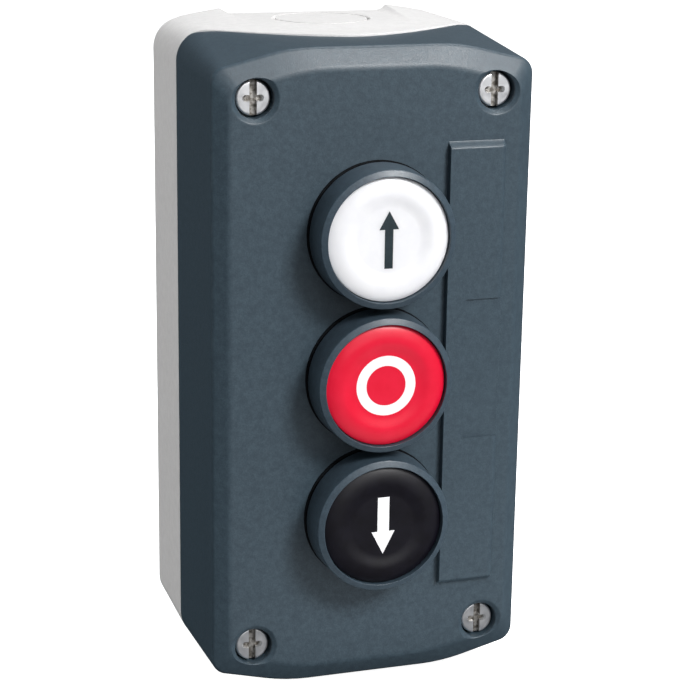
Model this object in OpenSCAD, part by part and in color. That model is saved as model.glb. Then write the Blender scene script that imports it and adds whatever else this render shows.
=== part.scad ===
// Three-button control station for a wall: a light grey base, a dark grey lid that carries three
// flush pushbutton heads, and a contact block clipped to the base behind each head.
//
// Every piece is drawn lying on its back, as on a bench: x runs to the right, y up the station,
// and z is the distance from the wall. stand() then turns it upright, so that the wall face lies
// in the XZ plane, the buttons look along -Y and Z is up. The origin is the middle of the wall face.

/* [Enclosure] */
// Width of the station
body_w = 68; // [62:0.5:76]
// Height of the station, end to end
body_h = 136; // [130:0.5:150]
// Distance from the wall to the front face of the lid
body_depth = 53; // [50:0.5:62]
// Distance from the wall to the joint between base and lid, along the long sides
parting_z = 22.5; // [20:0.25:25]
// Radius of the four upright edges
corner_r = 6.5; // [4:0.25:7.5]
// Thickness of the side and end walls
wall = 3; // [2.4:0.1:3.6]
// Thickness of the wall that lies on the mounting surface
back_wall = 3; // [2.4:0.1:4]
// Thickness of the lid behind its front face
front_wall = 2.8; // [2.2:0.1:3.4]

/* [Curved joint at the ends] */
// How far the base reaches forward of the side joint in the middle of each end
tongue_rise = 16.8; // [10:0.2:18]
// Distance from the station's sides to the feet of its curve
tongue_edge = 3; // [2.5:0.25:7]
// Fullness of the curve: higher is squarer
tongue_power_share = 1.6; // [1.4:0.1:2.4]

/* [Cable entries] */
// How far each end bulges outward at the wall
crown_rise = 3; // [1:0.1:4]
// Depth over which the bulge fades into the end wall
crown_run = 32; // [28:0.5:36]
// Half width of the flat seat for the cable gland
seat_half_w = 16.5; // [14:0.25:19]
// Width of the scooped edge of the seat
seat_scoop = 2.6; // [1.5:0.1:3.5]
// Height of the seat above the end wall
seat_rise = 0.9; // [0.5:0.05:1]
// Diameter of the knock-out, for a 20 mm gland
knockout_d = 20.5; // [16:0.1:22]
// Distance from the wall to the middle of the knock-out
knockout_z = 13.5; // [13:0.1:14.5]
// Thickness of the web that is left to break out
knockout_web = 1.4; // [1.2:0.1:2]
// Width of the score line round the knock-out
score_w = 0.7; // [0.4:0.05:1]
// Depth of the score line
score_depth = 0.5; // [0.3:0.05:0.8]

/* [Lid front] */
// Draft of the lid's long sides, from the joint to the front edge
lid_side_draft = 0.4; // [0.2:0.05:1]
// Draft of the lid's ends
lid_end_draft = 0.8; // [0.4:0.05:1.5]
// Half width of the straight middle of each front end edge
shoulder_flat = 17.5; // [14:0.25:19]
// Slope of the shoulders beside it, in degrees
shoulder_angle = 14; // [10:0.5:17]
// Radius where the shoulder leaves the straight edge
shoulder_r = 12; // [8:0.5:16]
// Radius of the front corners
front_corner_r = 3.4; // [2.4:0.1:4.5]
// Depth of the bevel round the front face
bevel_drop = 2.2; // [1.4:0.1:2.6]
// Width of the bevel on the long sides
bevel_side = 3.1; // [2:0.1:3.6]
// Width of the bevel on the ends
bevel_end = 4.1; // [3:0.1:5]

/* [Label strip] */
// Gap between the button heads and the raised strip
strip_gap = 0.4; // [0.2:0.05:1]
// Width of the strip
strip_w = 12.3; // [10:0.1:13]
// How far the strip runs past the outer buttons' fields
strip_over = 2.5; // [1:0.1:4]
// Height of the strip above the lid
strip_rise = 1.5; // [0.8:0.05:2]
// Run of its sloping long edges
strip_side_run = 0.35; // [0.1:0.05:0.6]
// Run of its sloping short edges
strip_end_run = 0.9; // [0.4:0.05:1.4]
// Distance from the strip's left edge to the sunk middle field
field_inset = 4.3; // [3:0.1:5]
// Depth of the sunk middle field
field_depth = 0.3; // [0.2:0.05:0.6]

/* [Lid screws] */
// Distance from the station's sides to the middles of the lid screws
screw_edge_x = 8.8; // [8.6:0.1:9.4]
// Distance from the station's ends to the middles of the lid screws
screw_edge_y = 10.4; // [10:0.1:11.4]
// Diameter of the screw shank
screw_d = 3.9; // [3:0.1:4.2]
// Diameter of the screw head
screw_head_d = 7; // [6:0.1:7.4]
// Height of the screw head
screw_head_h = 1.6; // [1.4:0.1:3]
// How far the head lies below the front face
screw_sink = 1.8; // [0.6:0.1:2.2]
// Length of the screw under its head
screw_length = 38; // [35:0.5:40]
// Width of the driver slots
screw_slot_w = 1.5; // [0.8:0.05:1.6]
// Depth of the driver slots
screw_slot_depth = 1; // [0.7:0.05:1.2]
// Length of the crossing slot
screw_cross_l = 4.4; // [3.5:0.1:5]
// Diameter of the mouth of the dished recess round each head
dish_d = 9.8; // [9.2:0.1:11]
// Depth of the dished recess
dish_depth = 0.7; // [0.4:0.05:0.9]
// Diameter of the screw posts
post_d = 9.8; // [9.4:0.1:10.4]
// Distance from the wall to the top of the base's posts
post_z = 26; // [24:0.5:28]

/* [Wall fixing] */
// Distance from the station's sides to the middles of the wall screw holes
fixing_edge_x = 14; // [13:0.5:17]
// Gap between the bosses of these holes and the nearest contact block's snap arms
fixing_gap = 5.2; // [4:0.1:7]
// Diameter of the wall screw holes
fixing_hole_d = 4.8; // [4:0.1:5.4]
// Diameter of the boss round each hole
fixing_boss_d = 10; // [8.5:0.1:10.6]
// Height of that boss above the inside of the wall
fixing_boss_h = 2; // [1:0.1:3]

/* [Button heads] */
// Diameter of the barrel that passes through the lid
barrel_d = 22; // [21.6:0.1:22.4]
// How far the head's flange reaches past its hole in the lid
flange_lap = 3.3; // [3.1:0.05:3.5]
// Gap between neighbouring heads, which sets the distance between the buttons
head_gap = 1; // [0.8:0.1:2]
// Travel of a button
travel = 4; // [3:0.1:4.2]
// Draft of the collar, from the lid to its front edge
collar_draft = 0.5; // [0.2:0.05:0.8]
// Thickness of the collar's wall at its front edge
collar_wall = 1.1; // [1:0.05:1.4]
// Rounding of the collar's front edge
collar_round = 0.9; // [0.5:0.05:0.95]
// Thickness of the floor that the collar stands on
flange_t = 1.6; // [1.3:0.1:2.2]
// Clearance between cap and collar
cap_gap = 0.3; // [0.3:0.05:0.4]
// Height of the rim of the cap
cap_rim_h = 2.2; // [2:0.1:3]
// How far the rim of the cap lies below the collar
cap_sink = 0.3; // [0.1:0.05:0.6]
// Depth of the shallow dish in the cap
cap_dish = 0.5; // [0.3:0.05:0.7]
// Width of the slope from the rim of the cap to the flat floor of that dish
cap_slope_w = 2.6; // [2:0.1:3.5]
// Thickness of the top of the cap
cap_t = 1.5; // [1.3:0.05:1.7]
// Play left under the cap at full travel
end_play = 0.4; // [0.3:0.05:0.8]
// Length of the barrel behind the front face
barrel_l = 15; // [14:0.25:16]
// Thickness of the barrel's wall
barrel_wall = 2.5; // [2.2:0.1:2.7]
// Thickness of the barrel's floor
barrel_floor = 2; // [1.6:0.1:3]
// Width of the key that stops a head from turning
key_w = 2.8; // [2:0.1:3.4]
// How far the key stands out of the barrel
key_rise = 1; // [0.6:0.05:1.2]

/* [Plunger] */
// Diameter of the plunger
plunger_d = 10; // [9:0.1:10.6]
// Thickness of its head, which the spring pushes on
plunger_head_t = 1.4; // [1:0.1:2]
// Diameter over the snap hooks at its inner end
hook_d = 12.4; // [11.8:0.1:13]
// Height of the snap hooks
hook_h = 1.6; // [1.2:0.1:2.2]
// Length of the toes beyond the hooks
toe_l = 0.7; // [0.4:0.05:1.2]
// Width of the slot between the two hooks
hook_slot_w = 3; // [2.4:0.1:3.6]
// Diameter of the cap's spigot in the plunger
spigot_d = 5; // [4:0.1:6]
// Length of that spigot
spigot_l = 3; // [2:0.1:4]

/* [Nut and seals] */
// Thickness of the lock nut
nut_t = 5; // [4:0.1:6]
// Thickness of the lock nut's wall round the barrel
nut_wall = 3.3; // [2.8:0.1:3.5]
// Number of grip notches in the nut
nut_notches = 8; // [6:1:10]
// Diameter of a grip notch
notch_d = 4; // [3:0.1:5]
// Width of the seal ring under a head
head_seal_w = 2; // [1.4:0.1:2.2]
// Thickness of that seal
head_seal_t = 0.9; // [0.7:0.05:1]
// Thickness of the gasket between base and lid
gasket_t = 1.6; // [1.2:0.1:2.2]
// Thickness of the seal ring under a lid screw
screw_seal_t = 1.2; // [0.8:0.1:1.6]

/* [Springs] */
// Wire of the button's return spring
return_wire = 0.9; // [0.6:0.05:1]
// Turns of the return spring
return_turns = 5.5; // [4:0.5:6.5]
// Wire of the carrier spring and the contact spring
fine_wire = 0.5; // [0.3:0.05:0.5]
// Outer diameter of the carrier spring and the contact spring
fine_spring_d = 4.4; // [4:0.1:4.6]
// Turns of the carrier spring
carrier_turns = 5; // [4:0.5:5.5]
// Turns of the contact spring
contact_turns = 4; // [3:0.5:4]

/* [Marks on the caps] */
// Depth to which a mark is let into its cap
mark_depth = 0.4; // [0.2:0.05:0.6]
// Length of the up arrow
up_arrow_l = 11.6; // [9:0.1:12]
// Width of its head
up_head_w = 4.1; // [3:0.1:5]
// Length of its head
up_head_l = 3.7; // [3:0.1:4.5]
// Width of its shaft
up_shaft_w = 1.75; // [1.2:0.05:2.2]
// Outer diameter of the stop ring
ring_outer_d = 12.5; // [11:0.1:14]
// Inner diameter of the stop ring
ring_inner_d = 8.3; // [7:0.1:9.5]
// Length of the down arrow
down_arrow_l = 12.3; // [10:0.1:13]
// Width of its head
down_head_w = 5; // [4:0.1:6]
// Length of its head
down_head_l = 4.9; // [4:0.1:6]
// Width of its shaft
down_shaft_w = 2.5; // [1.6:0.1:3]

/* [Contact blocks] */
// Width of a contact block, across the station
block_w = 42; // [40:0.5:44]
// Thickness of a contact block, along the station
block_t = 12; // [11.6:0.1:13]
// Width of the tall middle part that holds the contacts
tower_w = 22; // [21.4:0.1:23]
// Thickness of the tower's roof, which guides the carrier
roof_t = 4; // [3:0.1:4.2]
// Height of the terminal wings above the wall inside
wing_h = 19; // [18.4:0.1:20]
// Height of the terminals above the wall inside
terminal_h = 12; // [11.4:0.1:12.4]
// Thickness of the outer walls of a block
block_wall = 1.6; // [1.4:0.1:1.7]
// Width of the carrier across the station
carrier_w = 6.4; // [6:0.1:6.8]
// Thickness of the carrier along the station
carrier_t = 8; // [7.6:0.1:8.2]
// Sliding clearance of the carrier on each side
carrier_gap = 0.3; // [0.3:0.05:0.4]
// Thickness of the moving bridge
bridge_t = 0.8; // [0.6:0.05:1]
// Length of the moving bridge
bridge_l = 16.8; // [16.4:0.1:17.2]
// Width of the moving bridge and of the fixed contact bars
bar_w = 4.4; // [4:0.1:4.6]
// Thickness of the fixed contact bars
bar_t = 0.9; // [0.7:0.05:1]
// Diameter of the silver contact tips
tip_d = 2.4; // [2:0.1:2.6]
// Height of a contact tip
tip_h = 0.6; // [0.4:0.05:0.7]
// Distance from the middle of a block to its contact tips
tip_x = 7; // [6.8:0.05:7.1]
// Gap left between closing contacts at full travel
closing_gap = 0.3; // [0.2:0.05:0.5]

/* [Terminals] */
// Distance from the middle of a block to a terminal screw
terminal_x = 16; // [15.8:0.1:16.4]
// Length and width of the terminal plate and the wire clamp
clamp_w = 8.2; // [7.6:0.1:8.4]
// Thickness of the wire clamp
clamp_t = 1.2; // [0.8:0.1:1.6]
// Diameter of the terminal screw
terminal_screw_d = 3.4; // [3:0.1:3.5]
// Diameter of its head
terminal_head_d = 6.4; // [5.6:0.1:6.8]
// Height of its head
terminal_head_h = 2.2; // [1.8:0.1:2.6]
// Length of the terminal screw under its head
terminal_screw_l = 7.5; // [6:0.1:8]
// Thickness of the snap arms that hold a block
arm_t = 1.6; // [1.2:0.1:2]
// Width of the snap arms
arm_w = 8; // [6:0.1:9]
// How far a snap arm's hook reaches over the block
arm_hook = 0.9; // [0.7:0.05:1.1]
// Height of a snap arm's hook
arm_hook_h = 1.6; // [1.2:0.1:2]

/* [Hidden] */

// The three buttons, from the top down
BUTTONS = ["up", "stop", "down"];

// How far a cut runs past the piece it is cut from
over = 1;
// Thickness of the slices that hulled shells are stretched between
slice = 0.02;
// Fit of a head's barrel in the lid, a nut on a barrel and a spigot in its socket
panel_fit = 0.2;
thread_fit = 0.06;
spigot_fit = 0.05;
// Running clearance of the plunger in the barrel's floor
plunger_fit = 0.08;
// Clearance between a moulded piece and what it clips into
clip_fit = 0.2;
// Clearance of a screw in the hole that it passes through
screw_fit = 0.3;
// Clearance of a thread in its post or plate
tapped_fit = 0.05;
// Half width over which the joint reaches forward
tongue_half_w = body_w / 2 - tongue_edge;
// Facets of true round faces, and of the rounds inside a hull
round_fn = 64;
hull_fn = 32;
// Steps in half of the curved joint
tongue_steps = 12;
// Sides of a spring's wire and steps in one of its turns
wire_sides = 6;
turn_steps = 16;

// Levels, measured from the wall
face_z = body_depth;
panel_z = face_z - front_wall;
bevel_z = face_z - bevel_drop;
flange_z = face_z + flange_t;
cap_foot_z = flange_z + end_play + travel;
cap_rim_z = cap_foot_z + cap_rim_h;
collar_z = cap_rim_z + cap_sink;
cap_top_z = cap_rim_z - cap_dish;
cap_under_z = cap_top_z - cap_t;
plunger_head_z = cap_under_z - plunger_head_t;
barrel_end_z = face_z - barrel_l;
barrel_floor_z = barrel_end_z + barrel_floor;
toe_z = barrel_end_z - hook_h - toe_l;
screw_top_z = face_z - screw_sink;
screw_under_z = screw_top_z - screw_head_h;
screw_seat_z = screw_under_z - screw_seal_t;
screw_end_z = screw_under_z - screw_length;

// Contact block levels: closing contacts meet below the bridge, opening ones above it
toe_room = 1.2;
carrier_foot_room = 1.4;
spring_socket_depth = 2.4;
closing_bar_h = 5;
closing_window_h = 6.6;
opening_floor = 1.8;
opening_window_h = 5.8;
window_play = 0.4;
block_top_z = toe_z - travel - toe_room;
roof_z = block_top_z - roof_t;
wing_z = back_wall + wing_h;
terminal_z = back_wall + terminal_h;
carrier_foot_z = back_wall + travel + carrier_foot_room;
closing_bar_z = back_wall + closing_bar_h;
closing_seat_z = closing_bar_z + bar_t + tip_h + closing_gap + travel + tip_h;
closing_top_z = closing_seat_z + closing_window_h;
opening_seat_z = carrier_foot_z + spring_socket_depth + opening_floor;
opening_top_z = opening_seat_z + opening_window_h;
opening_bar_z = opening_top_z - window_play + 2 * tip_h;

// Plan sizes that several pieces share
front_half_w = body_w / 2 - lid_side_draft;
front_half_h = body_h / 2 - lid_end_draft;
bevel_half_w = front_half_w - bevel_side;
bevel_half_h = front_half_h - bevel_end;
rim_w = wall / 2;
screw_span_x = body_w - 2 * screw_edge_x;
screw_span_y = body_h - 2 * screw_edge_y;
panel_hole_d = barrel_d + 2 * panel_fit;
flange_d = panel_hole_d + 2 * flange_lap;
button_pitch = flange_d + head_gap;
collar_d = flange_d - 2 * collar_draft;
collar_bore_d = collar_d - 2 * collar_wall;
cap_d = collar_bore_d - 2 * cap_gap;
cap_flat_d = cap_d - 2 * cap_slope_w;
barrel_bore_d = barrel_d - 2 * barrel_wall;
plunger_head_d = barrel_bore_d - 2 * cap_gap;
nut_d = barrel_d + 2 * nut_wall;
strip_x = flange_d / 2 + strip_gap;
strip_h = len(BUTTONS) * button_pitch + 2 * strip_over;
screw_pocket_gap = 0.45;
screw_pocket_d = screw_head_d + 2 * screw_pocket_gap;
screw_hole_d = screw_d + 2 * screw_fit;
cavity_half_t = carrier_t / 2 + carrier_gap;
cavity_half_w = tower_w / 2 - block_wall;
window_half_t = bar_w / 2 + window_play;
bar_margin = 0.2;
bar_inner_x = tip_x - tip_d / 2 - bar_margin;
wing_pocket_half_t = clamp_w / 2 + clip_fit;
arm_y = block_t / 2 + clip_fit;
fixing_span_x = body_w - 2 * fixing_edge_x;
fixing_span_y = 2 * (button_pitch + arm_y + arm_t + fixing_gap) + fixing_boss_d;

// Small sizes of single pieces: webs and ribs of the lid, spring pins, seals, cap, key and carrier
web_t = 1.6;
web_clearance = 4;
rib_t = 1.6;
rib_h = 4;
rib_x = (flange_d + rib_t) / 2 + strip_gap;
spring_pin_d = fine_spring_d - 2 * fine_wire - 2 * clip_fit;
spring_pin_h = 1.6;
seal_lap = 0.4;
head_seal_bore_d = panel_hole_d + seal_lap;
head_seal_d = head_seal_bore_d + 2 * head_seal_w;
cap_wall = 1.6;
cap_edge_r = 0.6;
key_root = 0.8;
carrier_lug = 1;
carrier_lug_h = 1.4;
inner_round = 0.3;

// Places of the repeated pieces
module stand() { rotate([90, 0, 0]) children(); }
function row(which) = which == "up" ? 1 : which == "down" ? -1 : 0;
module station(which) { translate([0, 0, row(which) * button_pitch]) children(); }
module at_button(which) { translate([0, row(which) * button_pitch, 0]) children(); }
module at_ends() {
    children();
    mirror([0, 1, 0]) children();
}
module at_corners(span_x, span_y) {
    for (side = [-1, 1], end = [-1, 1]) translate([side * span_x / 2, end * span_y / 2, 0]) children();
}
module at_terminals() {
    children();
    mirror([1, 0, 0]) children();
}

// Outline helpers
function arc(cx, cy, r, from, to, steps) =
    [for (i = [0:steps]) let (a = from + (to - from) * i / steps) [cx + r * cos(a), cy + r * sin(a)]];
function rounded(half_w, half_h, r) = concat(
    arc(half_w - r, half_h - r, r, 0, 90, hull_fn / 4),
    arc(r - half_w, half_h - r, r, 90, 180, hull_fn / 4),
    arc(r - half_w, r - half_h, r, 180, 270, hull_fn / 4),
    arc(half_w - r, r - half_h, r, 270, 360, hull_fn / 4));
// Distance of the joint from the wall at a place across the station
function joint_z(x) =
    parting_z + tongue_rise * (1 - pow(min(abs(x) / tongue_half_w, 1), tongue_power_share));
function joint_line(shift) = [
    for (i = [-tongue_steps:tongue_steps])
        let (x = tongue_half_w * i / tongue_steps) [x, joint_z(x) + shift]
];

// A tall block across the whole station that ends at the joint, shifted along z
module before_joint(shift) {
    rotate([90, 0, 0]) linear_extrude(body_h + 2 * crown_rise + 2 * over, center = true)
        polygon(concat([[-body_w, -over]], [[-body_w, parting_z + shift]], joint_line(shift),
            [[body_w, parting_z + shift]], [[body_w, -over]]));
}
module beyond_joint(shift) {
    rotate([90, 0, 0]) linear_extrude(body_h + 2 * crown_rise + 2 * over, center = true)
        polygon(concat([[-body_w, face_z]], [[-body_w, parting_z + shift]], joint_line(shift),
            [[body_w, parting_z + shift]], [[body_w, face_z]]));
}
module plan(inset, h) {
    linear_extrude(h) polygon(rounded(body_w / 2 - inset, body_h / 2 - inset, corner_r - inset));
}

// Thin round pegs at the corners of a level of the lid, for hull() to stretch a shell over
module joint_pegs(inset, z) {
    at_corners(body_w - 2 * corner_r, body_h - 2 * corner_r)
        translate([0, 0, z]) cylinder(h = slice, r = corner_r - inset, $fn = hull_fn);
}
module shoulder_pegs(half_w, half_h, flat, inset, z) {
    corner_x = half_w - front_corner_r;
    corner_y = half_h - (corner_x - flat) * tan(shoulder_angle) - front_corner_r / cos(shoulder_angle);
    shoulder_x = flat - shoulder_r * tan(shoulder_angle / 2);
    at_corners(2 * corner_x, 2 * corner_y)
        translate([0, 0, z - slice])
            cylinder(h = slice, r = max(front_corner_r - inset, inner_round), $fn = hull_fn);
    at_corners(2 * shoulder_x, 2 * (half_h - shoulder_r))
        translate([0, 0, z - slice]) cylinder(h = slice, r = shoulder_r - inset, $fn = hull_fn);
}

// Light grey base: tray, curved ends, gland seats, posts, bosses and snap arms
module enclosure_base() {
    color("gainsboro") stand() difference() {
        union() {
            intersection() {
                difference() {
                    union() {
                        plan(0, face_z);
                        at_ends() crown();
                    }
                    translate([0, 0, back_wall]) plan(wall, face_z);
                }
                before_joint(0);
            }
            at_corners(screw_span_x, screw_span_y) cylinder(h = post_z, d = post_d, $fn = round_fn);
            post_webs(back_wall - over, parting_z - gasket_t - over);
            at_corners(fixing_span_x, fixing_span_y)
                cylinder(h = back_wall + fixing_boss_h, d = fixing_boss_d, $fn = round_fn);
            for (which = BUTTONS) at_button(which) block_seat();
        }
        gasket_room();
        at_ends() gland_seat();
        at_corners(screw_span_x, screw_span_y)
            translate([0, 0, screw_end_z - over])
                cylinder(h = post_z, d = screw_d + 2 * tapped_fit, $fn = round_fn);
        at_corners(fixing_span_x, fixing_span_y)
            translate([0, 0, -over])
                cylinder(h = back_wall + fixing_boss_h + 2 * over, d = fixing_hole_d, $fn = round_fn);
    }
}

// Bulge of an end wall, highest at the wall and faded out towards the joint
module crown() {
    half = body_w / 2 - corner_r + rim_w;
    root = body_h / 2 - rim_w;
    arch = [for (i = [-tongue_steps:tongue_steps])
        [half * i / tongue_steps, body_h / 2 + crown_rise * (1 - pow(i / tongue_steps, 2))]];
    hull() {
        linear_extrude(slice) polygon(concat([[-half, root]], arch, [[half, root]]));
        translate([-half, root, crown_run]) cube([2 * half, rim_w, slice]);
    }
}

// Cut that makes the flat gland seat, its scooped edges, the knock-out and its score line
module gland_seat() {
    seat_y = body_h / 2 + seat_rise;
    top_y = body_h / 2 + crown_rise + over;
    scoop_h = crown_rise - seat_rise;
    side = [for (i = [0:tongue_steps / 2]) let (a = 90 * i / (tongue_steps / 2))
        [seat_half_w + seat_scoop * sin(a), seat_y + scoop_h * (1 - cos(a))]];
    back_side = [for (i = [len(side) - 1:-1:0]) [-side[i][0], side[i][1]]];
    translate([0, 0, -over]) linear_extrude(crown_run + over)
        polygon(concat(side, [[seat_half_w + seat_scoop, top_y], [-seat_half_w - seat_scoop, top_y]],
            back_side));
    translate([0, 0, knockout_z]) rotate([-90, 0, 0]) {
        translate([0, 0, body_h / 2 - wall - over])
            cylinder(h = wall + seat_rise + over - knockout_web, d = knockout_d, $fn = round_fn);
        translate([0, 0, seat_y - score_depth]) difference() {
            cylinder(h = score_depth + over, d = knockout_d + score_w, $fn = round_fn);
            translate([0, 0, -over])
                cylinder(h = score_depth + 3 * over, d = knockout_d - score_w, $fn = round_fn);
        }
    }
}

// Webs that tie the screw posts to the side walls
module post_webs(from_z, to_z) {
    for (side = [-1, 1], end = [-1, 1]) {
        reach = body_w / 2 - rim_w - screw_span_x / 2;
        translate([side * (screw_span_x / 2 + reach / 2), end * screw_span_y / 2, (from_z + to_z) / 2])
            cube([reach, web_t, to_z - from_z], center = true);
    }
}

// Room for the gasket on the inner half of the base's rim
module gasket_room() {
    difference() {
        intersection() {
            plan(rim_w, face_z);
            beyond_joint(-gasket_t);
        }
        plan(wall, face_z);
    }
}

// Four snap arms and a spring pin on the wall inside, for one contact block
module block_seat() {
    for (side = [-1, 1], end = [0, 1]) mirror([0, end, 0])
        translate([side * terminal_x - arm_w / 2, 0, 0]) rotate([90, 0, 90]) linear_extrude(arm_w)
            polygon([
                [arm_y, back_wall - over], [arm_y + arm_t, back_wall - over],
                [arm_y + arm_t, wing_z + clip_fit + arm_hook_h],
                [arm_y, wing_z + clip_fit + arm_hook_h],
                [arm_y - arm_hook, wing_z + clip_fit], [arm_y, wing_z + clip_fit]
            ]);
    cylinder(h = back_wall + spring_pin_h, d = spring_pin_d, $fn = round_fn);
}

// Dark grey lid: bevelled shell, label strip, screw columns and the three panel holes
module enclosure_lid() {
    color("darkslategray") stand() difference() {
        union() {
            difference() {
                union() {
                    hull() {
                        joint_pegs(0, parting_z - over);
                        shoulder_pegs(front_half_w, front_half_h, shoulder_flat, 0, bevel_z);
                    }
                    hull() {
                        shoulder_pegs(front_half_w, front_half_h, shoulder_flat, 0, bevel_z);
                        shoulder_pegs(bevel_half_w, bevel_half_h, shoulder_flat - bevel_side, 0, face_z);
                    }
                }
                hull() {
                    joint_pegs(wall, parting_z - 2 * over);
                    shoulder_pegs(front_half_w, front_half_h, shoulder_flat, wall, panel_z);
                }
                before_joint(0);
            }
            label_strip();
            at_corners(screw_span_x, screw_span_y)
                translate([0, 0, post_z]) cylinder(h = panel_z - post_z + slice, d = post_d, $fn = round_fn);
            post_webs(joint_z(screw_span_x / 2) + web_clearance, panel_z + slice);
            stiffening_ribs();
        }
        for (which = BUTTONS) at_button(which) panel_hole();
        at_corners(screw_span_x, screw_span_y) screw_hole();
    }
}

module label_strip() {
    difference() {
        hull() {
            translate([strip_x, -strip_h / 2, face_z - front_wall / 2])
                cube([strip_w, strip_h, front_wall / 2]);
            translate([strip_x + strip_side_run, -strip_h / 2 + strip_end_run, face_z])
                cube([strip_w - 2 * strip_side_run, strip_h - 2 * strip_end_run, strip_rise]);
        }
        translate([strip_x + field_inset, -button_pitch / 2, face_z + strip_rise - field_depth])
            cube([strip_w, button_pitch, strip_rise]);
    }
}

module stiffening_ribs() {
    for (side = [-1, 1]) translate([side * rib_x, 0, panel_z - rib_h / 2 + slice])
        cube([rib_t, screw_span_y - post_d, rib_h], center = true);
}

module panel_hole() {
    translate([0, 0, panel_z - over]) {
        cylinder(h = front_wall + 2 * over, d = panel_hole_d, $fn = round_fn);
        translate([-key_w / 2 - panel_fit, 0, 0])
            cube([key_w + 2 * panel_fit, barrel_d / 2 + key_rise + panel_fit, front_wall + 2 * over]);
    }
}

module screw_hole() {
    translate([0, 0, post_z - over]) cylinder(h = face_z - post_z, d = screw_hole_d, $fn = round_fn);
    translate([0, 0, screw_seat_z])
        cylinder(h = face_z - screw_seat_z + strip_rise + over, d = screw_pocket_d, $fn = round_fn);
    translate([0, 0, face_z - dish_depth])
        cylinder(h = dish_depth, d1 = screw_pocket_d, d2 = dish_d, $fn = round_fn);
}

// Rubber gasket on the base's rim, under the lid, which follows the curved joint
module lid_gasket() {
    color("dimgray") stand() intersection() {
        difference() {
            plan(rim_w, face_z);
            translate([0, 0, -over]) plan(wall, face_z + 2 * over);
        }
        before_joint(0);
        beyond_joint(-gasket_t);
    }
}

// Four lid screws with a full slot and a crossing slot
module lid_screws() {
    color("silver") stand() at_corners(screw_span_x, screw_span_y) difference() {
        union() {
            translate([0, 0, screw_under_z]) cylinder(h = screw_head_h, d = screw_head_d, $fn = round_fn);
            translate([0, 0, screw_end_z]) cylinder(h = screw_length + slice, d = screw_d, $fn = round_fn);
        }
        driver_slots(screw_top_z, screw_head_d + over, screw_cross_l, screw_slot_w, screw_slot_depth);
    }
}

module driver_slots(top_z, slot_l, cross_l, slot_w, depth) {
    translate([-slot_w / 2, -slot_l / 2, top_z - depth]) cube([slot_w, slot_l, depth + over]);
    translate([-cross_l / 2, -slot_w / 2, top_z - depth]) cube([cross_l, slot_w, depth + over]);
}

module lid_screw_seals() {
    color("black") stand() at_corners(screw_span_x, screw_span_y)
        translate([0, 0, screw_seat_z]) difference() {
            cylinder(h = screw_seal_t, d = screw_head_d, $fn = round_fn);
            translate([0, 0, -over])
                cylinder(h = screw_seal_t + 2 * over, d = screw_d + screw_fit, $fn = round_fn);
        }
}

// Collar, flange and threaded barrel of a head, with its turning key
module bezel() {
    color("darkslategray") stand() difference() {
        union() {
            rotate_extrude($fn = round_fn) polygon(concat(
                [[plunger_d / 2 + plunger_fit, barrel_end_z], [barrel_d / 2, barrel_end_z],
                    [barrel_d / 2, face_z], [flange_d / 2, face_z]],
                arc(collar_d / 2 - collar_round, collar_z - collar_round, collar_round, 0, 90, hull_fn / 8),
                [[collar_bore_d / 2, collar_z], [collar_bore_d / 2, flange_z],
                    [barrel_bore_d / 2, flange_z], [barrel_bore_d / 2, barrel_floor_z],
                    [plunger_d / 2 + plunger_fit, barrel_floor_z]]));
            translate([-key_w / 2, barrel_d / 2 - key_root, panel_z])
                cube([key_w, key_root + key_rise, front_wall]);
        }
        translate([0, 0, face_z - over]) difference() {
            cylinder(h = head_seal_t + over, d = head_seal_d + clip_fit, $fn = round_fn);
            translate([0, 0, -over])
                cylinder(h = head_seal_t + 3 * over, d = barrel_d + slice, $fn = round_fn);
        }
    }
}

// Flat seal let into the underside of the flange
module bezel_seal() {
    color("black") stand() translate([0, 0, face_z]) difference() {
        cylinder(h = head_seal_t, d = head_seal_d, $fn = round_fn);
        translate([0, 0, -over])
            cylinder(h = head_seal_t + 2 * over, d = head_seal_bore_d, $fn = round_fn);
    }
}

// Cap: shallow dish, rounded rim, spigot and a pocket for its mark
module cap(which, shade) {
    rim_r = cap_d / 2;
    color(shade) stand() difference() {
        rotate_extrude($fn = round_fn) polygon(concat(
            [[0, cap_under_z - spigot_l], [spigot_d / 2, cap_under_z - spigot_l],
                [spigot_d / 2, cap_under_z], [rim_r - cap_wall, cap_under_z],
                [rim_r - cap_wall, cap_foot_z], [rim_r, cap_foot_z]],
            arc(rim_r - cap_edge_r, cap_rim_z - cap_edge_r, cap_edge_r, 0, 90, hull_fn / 8),
            [[cap_flat_d / 2, cap_top_z], [0, cap_top_z]]));
        translate([0, 0, cap_top_z - mark_depth]) linear_extrude(mark_depth + over) mark_shape(which);
    }
}

// Up arrow, ring and down arrow, centred on the cap
module mark_shape(which) {
    if (which == "up") arrow(up_arrow_l, up_head_w, up_head_l, up_shaft_w);
    if (which == "stop") difference() {
        circle(d = ring_outer_d, $fn = round_fn);
        circle(d = ring_inner_d, $fn = round_fn);
    }
    if (which == "down") mirror([0, 1, 0]) arrow(down_arrow_l, down_head_w, down_head_l, down_shaft_w);
}
module arrow(length, head_w, head_l, shaft_w) {
    tip = length / 2;
    polygon([[0, tip], [-head_w / 2, tip - head_l], [-shaft_w / 2, tip - head_l], [-shaft_w / 2, -tip],
        [shaft_w / 2, -tip], [shaft_w / 2, tip - head_l], [head_w / 2, tip - head_l]]);
}
module mark(which, shade) {
    color(shade) stand() translate([0, 0, cap_top_z - mark_depth])
        linear_extrude(mark_depth) mark_shape(which);
}

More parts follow.
